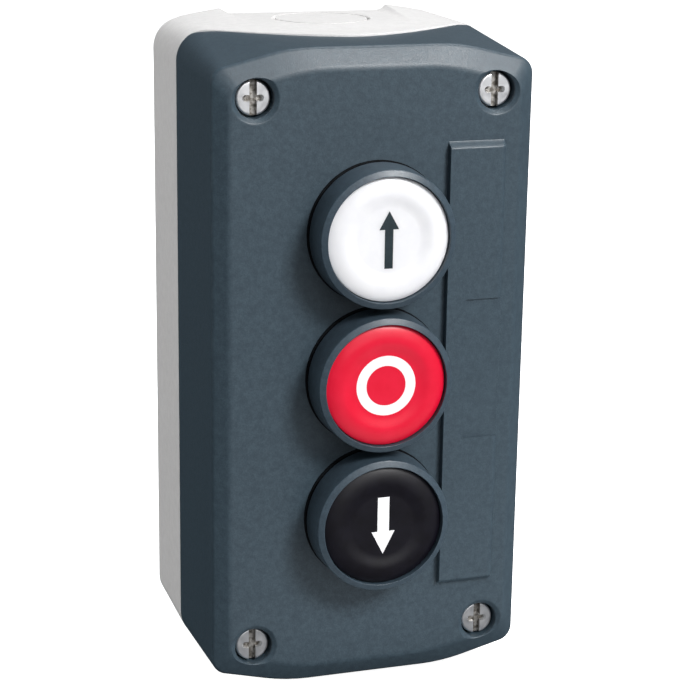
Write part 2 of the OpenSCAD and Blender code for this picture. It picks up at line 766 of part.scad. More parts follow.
// Plunger: spring head, socket for the cap, shaft, and two snap hooks with a slot between them
module plunger() {
    color("whitesmoke") stand() difference() {
        rotate_extrude($fn = round_fn) polygon([
            [spigot_d / 2 + spigot_fit, cap_under_z], [plunger_head_d / 2, cap_under_z],
            [plunger_head_d / 2, plunger_head_z], [plunger_d / 2, plunger_head_z],
            [plunger_d / 2, barrel_end_z], [hook_d / 2, barrel_end_z],
            [plunger_d / 2, barrel_end_z - hook_h], [plunger_d / 2 - toe_l, toe_z],
            [0, toe_z], [0, cap_under_z - spigot_l - spigot_fit],
            [spigot_d / 2 + spigot_fit, cap_under_z - spigot_l - spigot_fit]]);
        translate([-hook_slot_w / 2, -hook_d, toe_z - over])
            cube([hook_slot_w, 2 * hook_d, over + toe_l + hook_h + 2 * barrel_floor]);
    }
}

// One coil spring as an unbroken swept wire, between two levels
module coil_spring(from_z, to_z, outer_d, wire, turns) {
    steps = round(turns * turn_steps);
    mean_r = (outer_d - wire) / 2;
    climb = to_z - from_z - wire;
    points = [for (i = [0:steps], k = [0:wire_sides - 1])
        let (a = 360 * turns * i / steps, b = 360 * k / wire_sides, r = mean_r + wire / 2 * cos(b))
        [r * cos(a), r * sin(a), from_z + wire / 2 + climb * i / steps + wire / 2 * sin(b)]];
    sides = [for (i = [0:steps - 1], k = [0:wire_sides - 1])
        let (next = (k + 1) % wire_sides, low = i * wire_sides, high = low + wire_sides)
        [[low + k, low + next, high + next], [low + k, high + next, high + k]]];
    start = [for (k = [wire_sides - 1:-1:0]) k];
    end = [for (k = [0:wire_sides - 1]) steps * wire_sides + k];
    polyhedron(points, concat([for (pair = sides, face = pair) face], [start], [end]));
}

// Return spring, between the barrel's floor and the plunger's head
module return_spring() {
    color("silver") stand()
        coil_spring(barrel_floor_z, plunger_head_z, plunger_head_d - clip_fit, return_wire, return_turns);
}

// Round lock nut with grip notches, behind the lid
module lock_nut() {
    color("dimgray") stand() translate([0, 0, panel_z - nut_t]) difference() {
        cylinder(h = nut_t, d = nut_d, $fn = round_fn);
        translate([0, 0, -over])
            cylinder(h = nut_t + 2 * over, d = barrel_d + 2 * thread_fit, $fn = round_fn);
        for (i = [0:nut_notches - 1]) rotate(360 * (i + 1 / 2) / nut_notches)
            translate([(nut_d + notch_d / 2) / 2, 0, -over])
                cylinder(h = nut_t + 2 * over, d = notch_d, $fn = hull_fn);
    }
}

// Levels of the two kinds of contact: the stop button's opens, the others close
function opens(which) = which == "stop";
function seat_z(which) = opens(which) ? opening_seat_z : closing_seat_z;
function window_top_z(which) = opens(which) ? opening_top_z : closing_top_z;
function bridge_z(which) = opens(which) ? opening_top_z - window_play - bridge_t : closing_seat_z;
function bar_z(which) = opens(which) ? opening_bar_z : closing_bar_z;

// Moulded housing of a contact block: tower, guide slot, terminal wings and their pockets
module contact_housing(which) {
    color("lightgray") stand() difference() {
        union() {
            translate([-block_w / 2, -block_t / 2, back_wall]) cube([block_w, block_t, wing_h]);
            translate([-tower_w / 2, -block_t / 2, back_wall])
                cube([tower_w, block_t, block_top_z - back_wall]);
        }
        translate([-cavity_half_w, -cavity_half_t, back_wall - over])
            cube([2 * cavity_half_w, 2 * cavity_half_t, roof_z - back_wall + over]);
        translate([-carrier_w / 2 - carrier_gap, -cavity_half_t, roof_z - over])
            cube([carrier_w + 2 * carrier_gap, 2 * cavity_half_t, roof_t + 2 * over]);
        at_terminals() {
            translate([tower_w / 2, -wing_pocket_half_t, terminal_z])
                cube([block_w / 2, 2 * wing_pocket_half_t, wing_h]);
            translate([terminal_x, 0, terminal_z + clamp_t + bar_t - terminal_screw_l - over])
                cylinder(h = terminal_screw_l + over, d = terminal_screw_d + 2 * screw_fit, $fn = round_fn);
            bar_slot(which);
        }
    }
}
module bar_slot(which) {
    low = min(bar_z(which), terminal_z) - clip_fit;
    high = max(bar_z(which) + bar_t, terminal_z + bar_t) + clip_fit;
    translate([cavity_half_w - over, -bar_w / 2 - clip_fit, low])
        cube([block_wall + over + clip_fit, bar_w + 2 * clip_fit, high - low]);
}

// Carrier: the slide that the plunger pushes, with a window for the bridge and its spring
module contact_carrier(which) {
    color("royalblue") stand() difference() {
        union() {
            translate([-carrier_w / 2, -carrier_t / 2, carrier_foot_z])
                cube([carrier_w, carrier_t, toe_z - carrier_foot_z]);
            translate([-carrier_w / 2 - carrier_lug, -carrier_t / 2, roof_z - carrier_gap - carrier_lug_h])
                cube([carrier_w + 2 * carrier_lug, carrier_t, carrier_lug_h]);
        }
        translate([-carrier_w, -window_half_t, seat_z(which)])
            cube([2 * carrier_w, 2 * window_half_t, window_top_z(which) - seat_z(which)]);
        translate([0, 0, carrier_foot_z - over])
            cylinder(h = spring_socket_depth + over, d = fine_spring_d + 2 * clip_fit, $fn = round_fn);
    }
}

module carrier_spring() {
    color("silver") stand() coil_spring(back_wall, carrier_foot_z + spring_socket_depth,
        fine_spring_d, fine_wire, carrier_turns);
}

// Moving bridge with a silver tip at each end
module contact_bridge(which) {
    face = opens(which) ? bridge_z(which) + bridge_t : bridge_z(which) - tip_h;
    color("peru") stand() {
        translate([-bridge_l / 2, -bar_w / 2, bridge_z(which)]) cube([bridge_l, bar_w, bridge_t]);
        at_terminals() translate([tip_x, 0, face]) cylinder(h = tip_h, d = tip_d, $fn = round_fn);
    }
}

// Spring in the carrier's window that presses the bridge
module contact_spring(which) {
    low = opens(which) ? seat_z(which) : bridge_z(which) + bridge_t;
    high = opens(which) ? bridge_z(which) : window_top_z(which);
    color("silver") stand() coil_spring(low, high, fine_spring_d, fine_wire, contact_turns);
}

// The two fixed contacts of a block, each a bent bar with a tip and a plate for the wire
module terminals(which) {
    low = min(bar_z(which), terminal_z);
    high = max(bar_z(which) + bar_t, terminal_z + bar_t);
    tip_from = opens(which) ? bar_z(which) - tip_h : bar_z(which) + bar_t;
    color("peru") stand() at_terminals() difference() {
        union() {
            translate([bar_inner_x, -bar_w / 2, bar_z(which)])
                cube([tower_w / 2 - bar_inner_x, bar_w, bar_t]);
            translate([tower_w / 2 - bar_t, -bar_w / 2, low]) cube([bar_t, bar_w, high - low]);
            translate([tower_w / 2 - slice, -bar_w / 2, terminal_z])
                cube([terminal_x - tower_w / 2, bar_w, bar_t]);
            translate([terminal_x - clamp_w / 2, -clamp_w / 2, terminal_z]) cube([clamp_w, clamp_w, bar_t]);
            translate([tip_x, 0, tip_from]) cylinder(h = tip_h, d = tip_d, $fn = round_fn);
        }
        translate([terminal_x, 0, terminal_z - over])
            cylinder(h = bar_t + 2 * over, d = terminal_screw_d + 2 * tapped_fit, $fn = round_fn);
    }
}

module wire_clamps() {
    color("silver") stand() at_terminals() translate([terminal_x, 0, terminal_z + bar_t]) difference() {
        translate([-clamp_w / 2, -clamp_w / 2, 0]) cube([clamp_w, clamp_w, clamp_t]);
        translate([0, 0, -over])
            cylinder(h = clamp_t + 2 * over, d = terminal_screw_d + screw_fit, $fn = round_fn);
    }
}

module terminal_screws() {
    under = terminal_z + bar_t + clamp_t;
    color("silver") stand() at_terminals() translate([terminal_x, 0, 0]) difference() {
        union() {
            translate([0, 0, under]) cylinder(h = terminal_head_h, d = terminal_head_d, $fn = round_fn);
            translate([0, 0, under - terminal_screw_l])
                cylinder(h = terminal_screw_l + slice, d = terminal_screw_d, $fn = round_fn);
        }
        driver_slots(under + terminal_head_h, terminal_head_d + over, screw_cross_l,
            screw_slot_w, screw_slot_depth);
    }
}

enclosure_base();
enclosure_lid();
lid_gasket();
lid_screws();
lid_screw_seals();

station("up") bezel();  // up_bezel
station("up") bezel_seal();  // up_bezel_seal
station("up") cap("up", "white");  // up_cap
station("up") mark("up", "darkslategray");  // up_mark
station("up") plunger();  // up_plunger
station("up") return_spring();  // up_return_spring
station("up") lock_nut();  // up_lock_nut
station("up") contact_housing("up");  // up_contact_housing
station("up") contact_carrier("up");  // up_contact_carrier
station("up") carrier_spring();  // up_carrier_spring
station("up") contact_bridge("up");  // up_contact_bridge
station("up") contact_spring("up");  // up_contact_spring
station("up") terminals("up");  // up_terminals
station("up") terminal_screws();  // up_terminal_screws
station("up") wire_clamps();  // up_wire_clamps

station("stop") bezel();  // stop_bezel
station("stop") bezel_seal();  // stop_bezel_seal
station("stop") cap("stop", "crimson");  // stop_cap
station("stop") mark("stop", "white");  // stop_mark
station("stop") plunger();  // stop_plunger
station("stop") return_spring();  // stop_return_spring
station("stop") lock_nut();  // stop_lock_nut
station("stop") contact_housing("stop");  // stop_contact_housing
station("stop") contact_carrier("stop");  // stop_contact_carrier
station("stop") carrier_spring();  // stop_carrier_spring
station("stop") contact_bridge("stop");  // stop_contact_bridge
station("stop") contact_spring("stop");  // stop_contact_spring
station("stop") terminals("stop");  // stop_terminals
station("stop") terminal_screws();  // stop_terminal_screws
station("stop") wire_clamps();  // stop_wire_clamps

station("down") bezel();  // down_bezel
station("down") bezel_seal();  // down_bezel_seal
station("down") cap("down", "black");  // down_cap
station("down") mark("down", "white");  // down_mark
station("down") plunger();  // down_plunger
station("down") return_spring();  // down_return_spring
station("down") lock_nut();  // down_lock_nut
station("down") contact_housing("down");  // down_contact_housing
station("down") contact_carrier("down");  // down_contact_carrier
station("down") carrier_spring();  // down_carrier_spring
station("down") contact_bridge("down");  // down_contact_bridge
station("down") contact_spring("down");  // down_contact_spring
station("down") terminals("down");  // down_terminals
station("down") terminal_screws();  // down_terminal_screws
station("down") wire_clamps();  // down_wire_clamps
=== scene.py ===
"""The looks of a wall-mounted control station with three pushbuttons: up, stop and down."""

import math

import bmesh
import bpy
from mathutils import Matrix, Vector


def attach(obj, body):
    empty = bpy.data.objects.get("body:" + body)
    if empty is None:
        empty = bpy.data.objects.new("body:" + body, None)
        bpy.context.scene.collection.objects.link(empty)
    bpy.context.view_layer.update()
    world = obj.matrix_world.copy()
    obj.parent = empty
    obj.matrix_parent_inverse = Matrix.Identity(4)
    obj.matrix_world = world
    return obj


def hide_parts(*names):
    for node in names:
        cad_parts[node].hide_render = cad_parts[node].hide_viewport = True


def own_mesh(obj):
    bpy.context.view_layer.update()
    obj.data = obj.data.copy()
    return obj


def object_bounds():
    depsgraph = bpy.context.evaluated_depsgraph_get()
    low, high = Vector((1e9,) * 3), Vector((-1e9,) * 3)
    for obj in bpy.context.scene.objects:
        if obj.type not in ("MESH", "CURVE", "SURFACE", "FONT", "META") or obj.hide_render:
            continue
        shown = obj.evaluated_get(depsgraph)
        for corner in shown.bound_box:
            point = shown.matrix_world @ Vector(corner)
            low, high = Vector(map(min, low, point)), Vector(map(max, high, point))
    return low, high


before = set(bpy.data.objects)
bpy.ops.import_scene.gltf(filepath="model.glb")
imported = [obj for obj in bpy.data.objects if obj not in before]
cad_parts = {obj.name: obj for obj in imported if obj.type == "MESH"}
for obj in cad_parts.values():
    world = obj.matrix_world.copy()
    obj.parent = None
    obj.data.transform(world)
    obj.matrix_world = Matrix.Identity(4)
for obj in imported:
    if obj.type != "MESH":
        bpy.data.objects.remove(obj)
cad_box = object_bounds()
scene = bpy.context.scene

# VIEW
# The station is seen from its left and a little above, through a long lens. The photograph was
# squared up to the station's face, which the shift and the slight roll only follow in part.
eye = Vector((-0.1208, -0.4052, 0.1134))
aim = Vector((-0.0161, -0.0531, 0.0162))
camera = bpy.data.objects.new("view", bpy.data.cameras.new("view"))
camera.location = eye
camera.rotation_euler = (aim - eye).to_track_quat("-Z", "Y").to_euler()
camera.rotation_euler.rotate_axis("Z", math.radians(0.47))
camera.data.lens = 100.5
camera.data.sensor_width = 36
camera.data.shift_x = 0.06
camera.data.shift_y = -0.0535
camera.data.dof.use_dof = False
scene.collection.objects.link(camera)
scene.camera = camera
scene.view_settings.view_transform = "Standard"


# TABLE
# A sheet of pale matt paper: flat under the station and turned up in one curve far out all round
# it, so that no edge shows from any side. It is the set, and no part of the station.
def linear(code):
    """An sRGB hex colour as the linear numbers that a shader takes."""
    parts = [int(code[i : i + 2], 16) / 255 for i in (1, 3, 5)]
    return (*[p / 12.92 if p <= 0.04045 else ((p + 0.055) / 1.055) ** 2.4 for p in parts], 1)


def add(tree, kind, sockets, **settings):
    """Adds one node, with its settings, and fills or links its sockets."""
    made = tree.nodes.new(kind if "Node" in kind else "ShaderNode" + kind)
    for name, value in settings.items():
        setattr(made, name, value)
    for name, value in sockets.items():
        if isinstance(value, bpy.types.NodeSocket):
            tree.links.new(value, made.inputs[name])
        else:
            made.inputs[name].default_value = value
    return made


def fresh(name):
    """A new material with its node tree, its shader and its object coordinates."""
    material = bpy.data.materials.new(name)
    material.use_nodes = True
    tree = material.node_tree
    place = add(tree, "TexCoord", {}).outputs["Object"]
    return material, tree, tree.nodes["Principled BSDF"], place


def noise(tree, place, scale, detail, rough=0.5):
    """Noise that runs through a piece: its scale is in cells to the metre."""
    sockets = {"Vector": place, "Scale": scale, "Detail": detail, "Roughness": rough}
    return add(tree, "TexNoise", sockets).outputs["Fac"]


def mixed(tree, share, one, other):
    """A colour between two, each a hex colour or the colour that a node gives."""
    ends = [linear(end) if isinstance(end, str) else end for end in (one, other)]
    return add(tree, "Mix", {0: share, 6: ends[0], 7: ends[1]}, data_type="RGBA").outputs[2]


# Uncoated white paper, its own light a stand-in for the lamps that wash a studio background out.
paper, tree, shader, place = fresh("pale_matt_paper")
tint = mixed(tree, noise(tree, place, 9, 2), "#f4f4f3", "#f9f9f8")
tree.links.new(tint, shader.inputs["Base Color"])
shader.inputs["Roughness"].default_value = 0.9
shader.inputs["Specular IOR Level"].default_value = 0.1
shader.inputs["Emission Color"].default_value = linear("#ffffff")
shader.inputs["Emission Strength"].default_value = 0.95

table_z = cad_box[0].z - 0.0002
inner_r, flat_r, bend_r, top_z, sides, bend_steps = 0.3, 1.5, 0.6, 3, 72, 24
line = [(inner_r, table_z), (flat_r, table_z)]
for i in range(1, bend_steps + 1):
    a = math.radians(90 * i / bend_steps)
    line.append((flat_r + bend_r * math.sin(a), table_z + bend_r * (1 - math.cos(a))))
line.append((flat_r + bend_r, top_z))
turns = [2 * math.pi * i / sides for i in range(sides)]
verts = [(r * math.cos(a), r * math.sin(a), z) for r, z in line for a in turns]
verts.append((0, 0, table_z))
faces = [(i, (i + 1) % sides, len(verts) - 1) for i in range(sides)]
for row in range(len(line) - 1):
    low, high = row * sides, (row + 1) * sides
    for i in range(sides):
        j = (i + 1) % sides
        faces.append((low + i, high + i, high + j, low + j))
mesh = bpy.data.meshes.new("sweep")
mesh.from_pydata(verts, [], faces)
mesh.shade_smooth()
mesh.materials.append(paper)
sweep = bpy.data.objects.new("sweep", mesh)
scene.collection.objects.link(sweep)
sweep.visible_diffuse = False
sweep.visible_glossy = False
sweep.visible_shadow = False


# LIGHT
# A large soft box above the front draws the bevels, a smaller one on the right throws the shadows
# to the left, and one overhead lights the upper end and the rims. Dull cards on the table and at
# the left and the back fill in, and a tent glows faintly all round.
def soft_box(name, where, towards, size, watts, mirrored=True):
    """One square studio soft box, or a dull card where it isn't to be mirrored."""
    lamp = bpy.data.lights.new(name, "AREA")
    lamp.shape = "SQUARE"
    lamp.size = size
    lamp.energy = watts
    box = bpy.data.objects.new(name, lamp)
    box.location = where
    box.rotation_euler = (Vector(towards) - Vector(where)).to_track_quat("-Z", "Y").to_euler()
    box.visible_glossy = mirrored
    box.visible_camera = False
    scene.collection.objects.link(box)


def ramp(tree, value, start, end, low=0.0, high=1.0):
    """A value carried from one range onto another and held at its ends."""
    sockets = {"Value": value, "From Min": start, "From Max": end, "To Min": low, "To Max": high}
    return add(tree, "MapRange", sockets).outputs["Result"]


soft_box("front_box", (0.20, -0.86, 0.42), (0, -0.03, 0), 0.9, 2.3)
soft_box("key_box", (0.33, -0.68, 0.56), (0, -0.03, 0), 0.26, 7.2)
soft_box("overhead_box", (0.34, -0.02, 0.9), (0, 0, 0), 0.45, 3.9)
soft_box("left_card", (-0.85, 0.35, 0.15), (0, 0, 0), 0.6, 5.1, False)
soft_box("back_card", (0.15, 0.85, 0.35), (0, 0, 0), 0.6, 2.4, False)
soft_box("table_card", (0.03, -0.13, -0.0685), (0.03, -0.13, 0), 0.13, 0.068, False)
tent = bpy.data.worlds.new("tent")
tent.use_nodes = True
tree = tent.node_tree
way = add(tree, "TexCoord", {}).outputs["Generated"]
pale_side = (0.50, -0.52, 0.69)
facing = add(tree, "VectorMath", {0: way, 1: pale_side}, operation="DOT_PRODUCT").outputs["Value"]
tree.links.new(ramp(tree, facing, -1, 1, 0, 0.28), tree.nodes["Background"].inputs["Strength"])
tree.nodes["Background"].inputs["Color"].default_value = linear("#f8faff")
scene.world = tent


# BASE
# A tray moulded in light grey ABS: a flat back, side walls that rise towards the middle of each
# end in a curved joint, and end walls that bulge around a flat gland seat. Inside are the screw
# posts, the wall-fixing bosses and the snap arms of the contact blocks, all in one moulding.
def bench(x, y, z):
    """A place in millimetres, x across, y up and z off the wall, as the frame's metres."""
    return Vector((x, -z, y)) / 1000


def loft(name, rings, looped=False):
    """A closed skin through rings that run anticlockwise seen from the front. The rings follow
    each other up the outside or down the inside, and the two ends are capped or joined."""
    bm = bmesh.new()
    rows = [[bm.verts.new(bench(*p)) for p in ring] for ring in rings]
    count = len(rows[0])
    pairs = list(zip(rows, rows[1:])) + ([(rows[-1], rows[0])] if looped else [])
    for low, high in pairs:
        for i in range(count):
            j = (i + 1) % count
            bm.faces.new((low[i], low[j], high[j], high[i]))
    if not looped:
        bm.faces.new(rows[0][::-1])
        bm.faces.new(rows[-1])
    bmesh.ops.remove_doubles(bm, verts=bm.verts, dist=1e-7)
    mesh = bpy.data.meshes.new(name)
    bm.to_mesh(mesh)
    bm.free()
    piece = bpy.data.objects.new(name, mesh)
    scene.collection.objects.link(piece)
    return piece


def turned(name, profile, at=(0, 0), sides=96, looped=True, swell=None):
    """A shape turned about the line off the wall at a place: the profile is radius and height,
    anticlockwise. swell gives the radius again from the angle, the radius and the height."""
    rings = []
    for r, z in profile:
        ring = []
        for i in range(sides):
            a = 2 * math.pi * i / sides
            out = swell(a, r, z) if swell else r
            ring.append((at[0] + out * math.cos(a), at[1] + out * math.sin(a), z))
        rings.append(ring)
    return loft(name, rings, looped)


def prism(name, outline, low, high):
    """A straight block over an anticlockwise outline, between two heights."""
    return loft(name, [[(x, y, low) for x, y in outline], [(x, y, high) for x, y in outline]])


def block(name, x, y, z):
    """A plain block between two places on each axis, only used to cut with or to join on."""
    return prism(name, [(x[0], y[0]), (x[1], y[0]), (x[1], y[1]), (x[0], y[1])], *z)


def rod(name, r, low, high, at, sides):
    """A plain round rod between two heights, only used to cut with or to join on."""
    return turned(name, [(0, low), (r, low), (r, high), (0, high)], at, sides, False)


def eased(points, radii, steps=5):
    """A line of points whose corners are rounded to their radii."""
    line = []
    for i, (point, r) in enumerate(zip(points, radii)):
        p = Vector(point)
        if r <= 0:
            line.append(tuple(p))
            continue
        back = (Vector(points[i - 1]) - p).normalized()
        on = (Vector(points[(i + 1) % len(points)]) - p).normalized()
        half = back.angle(on) / 2
        centre = p + (back + on).normalized() * r / math.sin(half)
        first = (p + back * r / math.tan(half) - centre).normalized()
        last = (p + on * r / math.tan(half) - centre).normalized()
        line += [tuple(centre + first.slerp(last, k / steps) * r) for k in range(steps + 1)]
    return line


def settled(piece):
    """A piece whose modifiers are applied, so that it is a plain mesh."""
    bpy.context.view_layer.update()
    seen = piece.evaluated_get(bpy.context.evaluated_depsgraph_get())
    mesh = bpy.data.meshes.new_from_object(seen)
    piece.modifiers.clear()
    piece.data = mesh
    mesh.name = piece.name
    return piece


def worked(piece, tools, how="DIFFERENCE"):
    """A piece with the tools cut out of it or joined to it. The tools are used up."""
    for tool in tools:
        step = piece.modifiers.new(tool.name, "BOOLEAN")
        step.operation = how
        step.solver = "MANIFOLD"
        step.object = tool
    settled(piece)
    for tool in tools:
        bpy.data.objects.remove(tool)
    return piece


def dressed(piece, material, crease=32):
    """Gives a piece its material and its shading: smooth round its fillets, crisp at its edges."""
    piece.data.materials.clear()
    piece.data.materials.append(material)
    piece.data.shade_smooth()
    piece.data.set_sharp_from_angle(angle=math.radians(crease))
    even = piece.modifiers.new("even_shading", "WEIGHTED_NORMAL")
    even.keep_sharp = True
    return piece


def plan(corner, shoulder, run):
    """A quarter outline turned into a whole one: half a side, a corner arc, a sloping shoulder
    and half an end, whose points lie at the shares in run."""
    (cx, cy, r), (sx, sy, s) = corner, shoulder
    tilt, corner_steps, slope_steps, shoulder_steps = math.radians(76), 10, 8, 4
    quarter = [(cx + r, cy * share) for share in (0, 0.25, 0.5, 0.75, 1)]
    arc = [tilt * i / corner_steps for i in range(1, corner_steps + 1)]
    quarter += [(cx + r * math.cos(a), cy + r * math.sin(a)) for a in arc]
    low = Vector(quarter[-1])
    high = Vector((sx + s * math.cos(tilt), sy + s * math.sin(tilt)))
    quarter += [tuple(low.lerp(high, i / slope_steps)) for i in range(1, slope_steps + 1)]
    rest = math.pi / 2 - tilt
    arc = [tilt + rest * i / shoulder_steps for i in range(1, shoulder_steps + 1)]
    quarter += [(sx + s * math.cos(a), sy + s * math.sin(a)) for a in arc]
    quarter += [(sx * share, sy + s) for share in run]
    whole = quarter + [(-x, y) for x, y in reversed(quarter[:-1])]
    whole += [(-x, -y) for x, y in quarter[1:]]
    return whole + [(x, -y) for x, y in reversed(quarter[1:-1])]


def moulded(name, dark, light, mottle_mm, grain_mm, relief_mm, rough, spread=0.06, ior=1.5):
    """Thermoplastic out of a spark-textured mould: a slight mottle, a fine grain and their bump."""
    material, tree, shader, place = fresh(name)
    cloud = noise(tree, place, 1000 / mottle_mm, 3, 0.6)
    grain = noise(tree, place, 1000 / grain_mm, 2, 0.7)
    both = add(tree, "Math", {0: cloud, 1: grain}, operation="MULTIPLY").outputs[0]
    tint = mixed(tree, ramp(tree, both, 0.13, 0.37), dark, light)
    gloss = ramp(tree, grain, 0.3, 0.7, rough - spread, rough + spread)
    bump = add(tree, "Bump", {"Height": grain, "Distance": relief_mm / 1000, "Strength": 0.6})
    tree.links.new(tint, shader.inputs["Base Color"])
    tree.links.new(gloss, shader.inputs["Roughness"])
    tree.links.new(bump.outputs["Normal"], shader.inputs["Normal"])
    shader.inputs["IOR"].default_value = ior
    return material


def joint_z(x):
    """How far off the wall the joint between base and lid lies, across the station."""
    side_z, rise, half_width = 22.5, 16.8, 31
    return side_z + rise * (1 - min(abs(x) / half_width, 1) ** 1.6)


def bulge(x, z):
    """How far an end wall stands out: a crown that fades towards the joint, with the flat gland
    seat scooped out of its middle. The crest between the two is rounded."""
    crown = 3 * max(0, 1 - (x / 29) ** 2) * max(0, 1 - z / 32) ** 1.3
    seat_half, seat_out, scoop_r, ease = 16.5, 0.5, 3, 0.3
    past = (abs(x) - seat_half) / scoop_r
    if past >= 1:
        return crown
    scoop = seat_out + 2.5 * (1 - math.sqrt(1 - max(0, past) ** 2))
    blend = max(ease - abs(crown - scoop), 0) / ease
    return min(crown, scoop) - blend * blend * ease / 4


# ABS, pigmented light grey, from a finely sparked mould: pale, matt, with a faint grain.
pale_abs = moulded("light_grey_abs_moulded", "#d9d8d7", "#e3e2e1", 1.6, 0.35, 0.03, 0.5)

# The points of half an end wall lie closest where the gland seat is scooped out.
corner_x, corner_y, corner_r = 27.5, 61.5, 6.5
seat_run = [1 - i / 8 * 0.28 for i in range(1, 8)]
scoop_x = (19.8, 19.4, 19.1, 18.9, 18.7, 18.5, 18.2, 17.9, 17.5, 17.1, 16.8)
seat_x = (16.5, 16, 15, 13.5, 12, 10, 8, 6, 4, 2, 0)
seat_run += [x / corner_x for x in scoop_x + seat_x]


def base_ring(inset, height, out=1):
    """One ring of the base: its plan drawn in by the inset, at a height that may follow x."""
    peg = (corner_x, corner_y, corner_r - inset)
    ring = []
    for x, y in plan(peg, peg, seat_run):
        z = height(x)
        grow = bulge(x, max(z, 0)) * out if abs(y) > corner_y else 0
        ring.append((x, y + math.copysign(grow, y), z))
    return ring


wall, floor, foot_ease, ledge, ledge_deep, skin_steps = 3, 3, 0.5, 1.5, 1.6, 30
rings = [
    base_ring(foot_ease, lambda x: 0),
    base_ring(0.15, lambda x: 0.12),
    base_ring(0, lambda x: foot_ease),
]
for i in range(1, skin_steps + 1):
    rings.append(base_ring(0, lambda x: foot_ease + (joint_z(x) - 0.7) * i / skin_steps))
rings += [
    base_ring(0.06, lambda x: joint_z(x) - 0.06),
    base_ring(0.2, joint_z),
    base_ring(ledge, joint_z, 0),
    base_ring(ledge, lambda x: joint_z(x) - ledge_deep, 0),
    base_ring(wall, lambda x: joint_z(x) - ledge_deep, 0),
    base_ring(wall, lambda x: floor + 0.6, 0),
    base_ring(wall + 0.2, lambda x: floor + 0.15, 0),
    base_ring(wall + 0.6, lambda x: floor, 0),
]
base = loft("base_shell", rings)

corners = [(x, y) for x in (-1, 1) for y in (-1, 1)]
screw_x, screw_y, post_r, post_z, web_half = 25.2, 57.6, 4.9, 26, 0.8
fixing_x, fixing_y, boss_r, boss_z = 20, 48, 5, 5
button_rows, pin_r, pin_z = (-30, 0, 30), 1.5, 4.6
block_x, arm_half, root_z = 16, 4, 2


def stud(name, r, top_z, ease, at, sides):
    """A round stud that stands up from the floor, its top edge eased."""
    profile = eased([(0, root_z), (r, root_z), (r, top_z), (0, top_z)], [0, 0, ease, 0])
    return turned(name, profile, at, sides, False)


hook = [(6.2, root_z), (7.8, root_z), (7.8, 23.8), (6.2, 23.8), (5.3, 22.2), (6.2, 22.2)]
hook = eased(hook, [0, 0, 0.3, 0.3, 0.15, 0])
additions = []
for x, y in corners:
    additions.append(stud("post", post_r, post_z, 0.25, (screw_x * x, screw_y * y), 64))
    web = sorted((screw_x * x, 32.5 * x))
    across_web = (screw_y * y - web_half, screw_y * y + web_half)
    additions.append(block("web", web, across_web, (root_z, 19.9)))
    additions.append(stud("boss", boss_r, boss_z, 0.3, (fixing_x * x, fixing_y * y), 64))
for row in button_rows:
    additions.append(stud("pin", pin_r, pin_z, 0.3, (0, row), 48))
    for side in (-1, 1):
        near, far = block_x * side - arm_half, block_x * side + arm_half
        for end in (-1, 1):
            edge = [(near, row + end * h, z) for h, z in hook[::-end]]
            additions.append(loft("arm", [edge, [(far, y, z) for _, y, z in edge]]))
base = worked(base, additions, "UNION")

cutters = []
for x, y in corners:
    cutters.append(rod("tapped", 2, 10.6, 30, (screw_x * x, screw_y * y), 48))
    bore = [(0, -1), (3, -1), (2.4, 0.5), (2.4, 4.6), (3, 6), (0, 6)]
    cutters.append(turned("fixing", bore, (fixing_x * x, fixing_y * y), 64, False))
base = worked(base, cutters)


def across_end(piece, end):
    """Swings a turned cutter so that its line off the wall runs out through an end wall."""
    gland_z = 13.5
    for vert in piece.data.vertices:
        x, y, z = vert.co.x * 1000, vert.co.z * 1000, -vert.co.y * 1000
        vert.co = bench(x * end, z * end, gland_z - y)
    return piece


cutters = []
for end in (-1, 1):
    pocket = [(0, 63), (10.25, 63), (10.25, 67.2), (9.95, 67.5), (0, 67.5)]
    cutters.append(across_end(turned("knock_out", pocket, sides=96, looped=False), end))
    score = [(9.8, 75), (9.85, 68.2), (10.1, 67.9), (10.4, 67.9), (10.65, 68.2), (10.7, 75)]
    cutters.append(across_end(turned("score", score, sides=128), end))
base = worked(base, cutters)
dressed(base, pale_abs)
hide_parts("enclosure_base")
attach(base, "station")


# GASKET
# An endless strip of black nitrile rubber that lies in a step on the inner half of the base's
# rim. It is pressed hot in a steel mould: near black, matt, with a soft bloom of paler grey.
black_nitrile = moulded("black_nitrile_pressed", "#08090c", "#14171b", 2.5, 0.4, 0.04, 0.8, ior=1.2)

rings = [
    base_ring(wall, lambda x: joint_z(x) - ledge_deep, 0),
    base_ring(1.7, lambda x: joint_z(x) - ledge_deep, 0),
    base_ring(ledge, lambda x: joint_z(x) - 1.4, 0),
    base_ring(ledge, lambda x: joint_z(x) - 0.2, 0),
    base_ring(1.7, lambda x: joint_z(x) - 0.001, 0),
    base_ring(2.8, lambda x: joint_z(x) - 0.001, 0),
    base_ring(wall, lambda x: joint_z(x) - 0.2, 0),
]
gasket = dressed(loft("joint_gasket", rings, True), black_nitrile)
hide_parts("lid_gasket")
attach(gasket, "station")


# LID
# A deep cover moulded in slate-coloured ABS. Its side walls draw in a little, its ends have
# sloping shoulders, and a bevel runs round the flat face. The label strip, the screw columns and
# the stiffening ribs are moulded on, and the panel holes are keyed against turning.
end_steps = 14
lid_run = [1 - i / end_steps for i in range(1, end_steps + 1)]
edge_corner, edge_shoulder = (30.2, 60.53, 3.4), (12.592, 27.2, 40)
face_corner, face_shoulder = (27.1, 56.43, 3.4), (9.492, 23.1, 40)
foot_z, inner_foot_z, inner_top_z, edge_z, face_z = 21.5, 20.5, 50.2, 50.8, 53


def drawn_in(arc, inset):
    """A corner or a shoulder of an outline that is drawn in all round."""
    x, y, r = arc
    return x, y, max(r - inset, 0.3)


def edge_outline(inset):
    """The lid's outline at the foot of its bevel, drawn in by an inset."""
    return plan(drawn_in(edge_corner, inset), drawn_in(edge_shoulder, inset), lid_run)


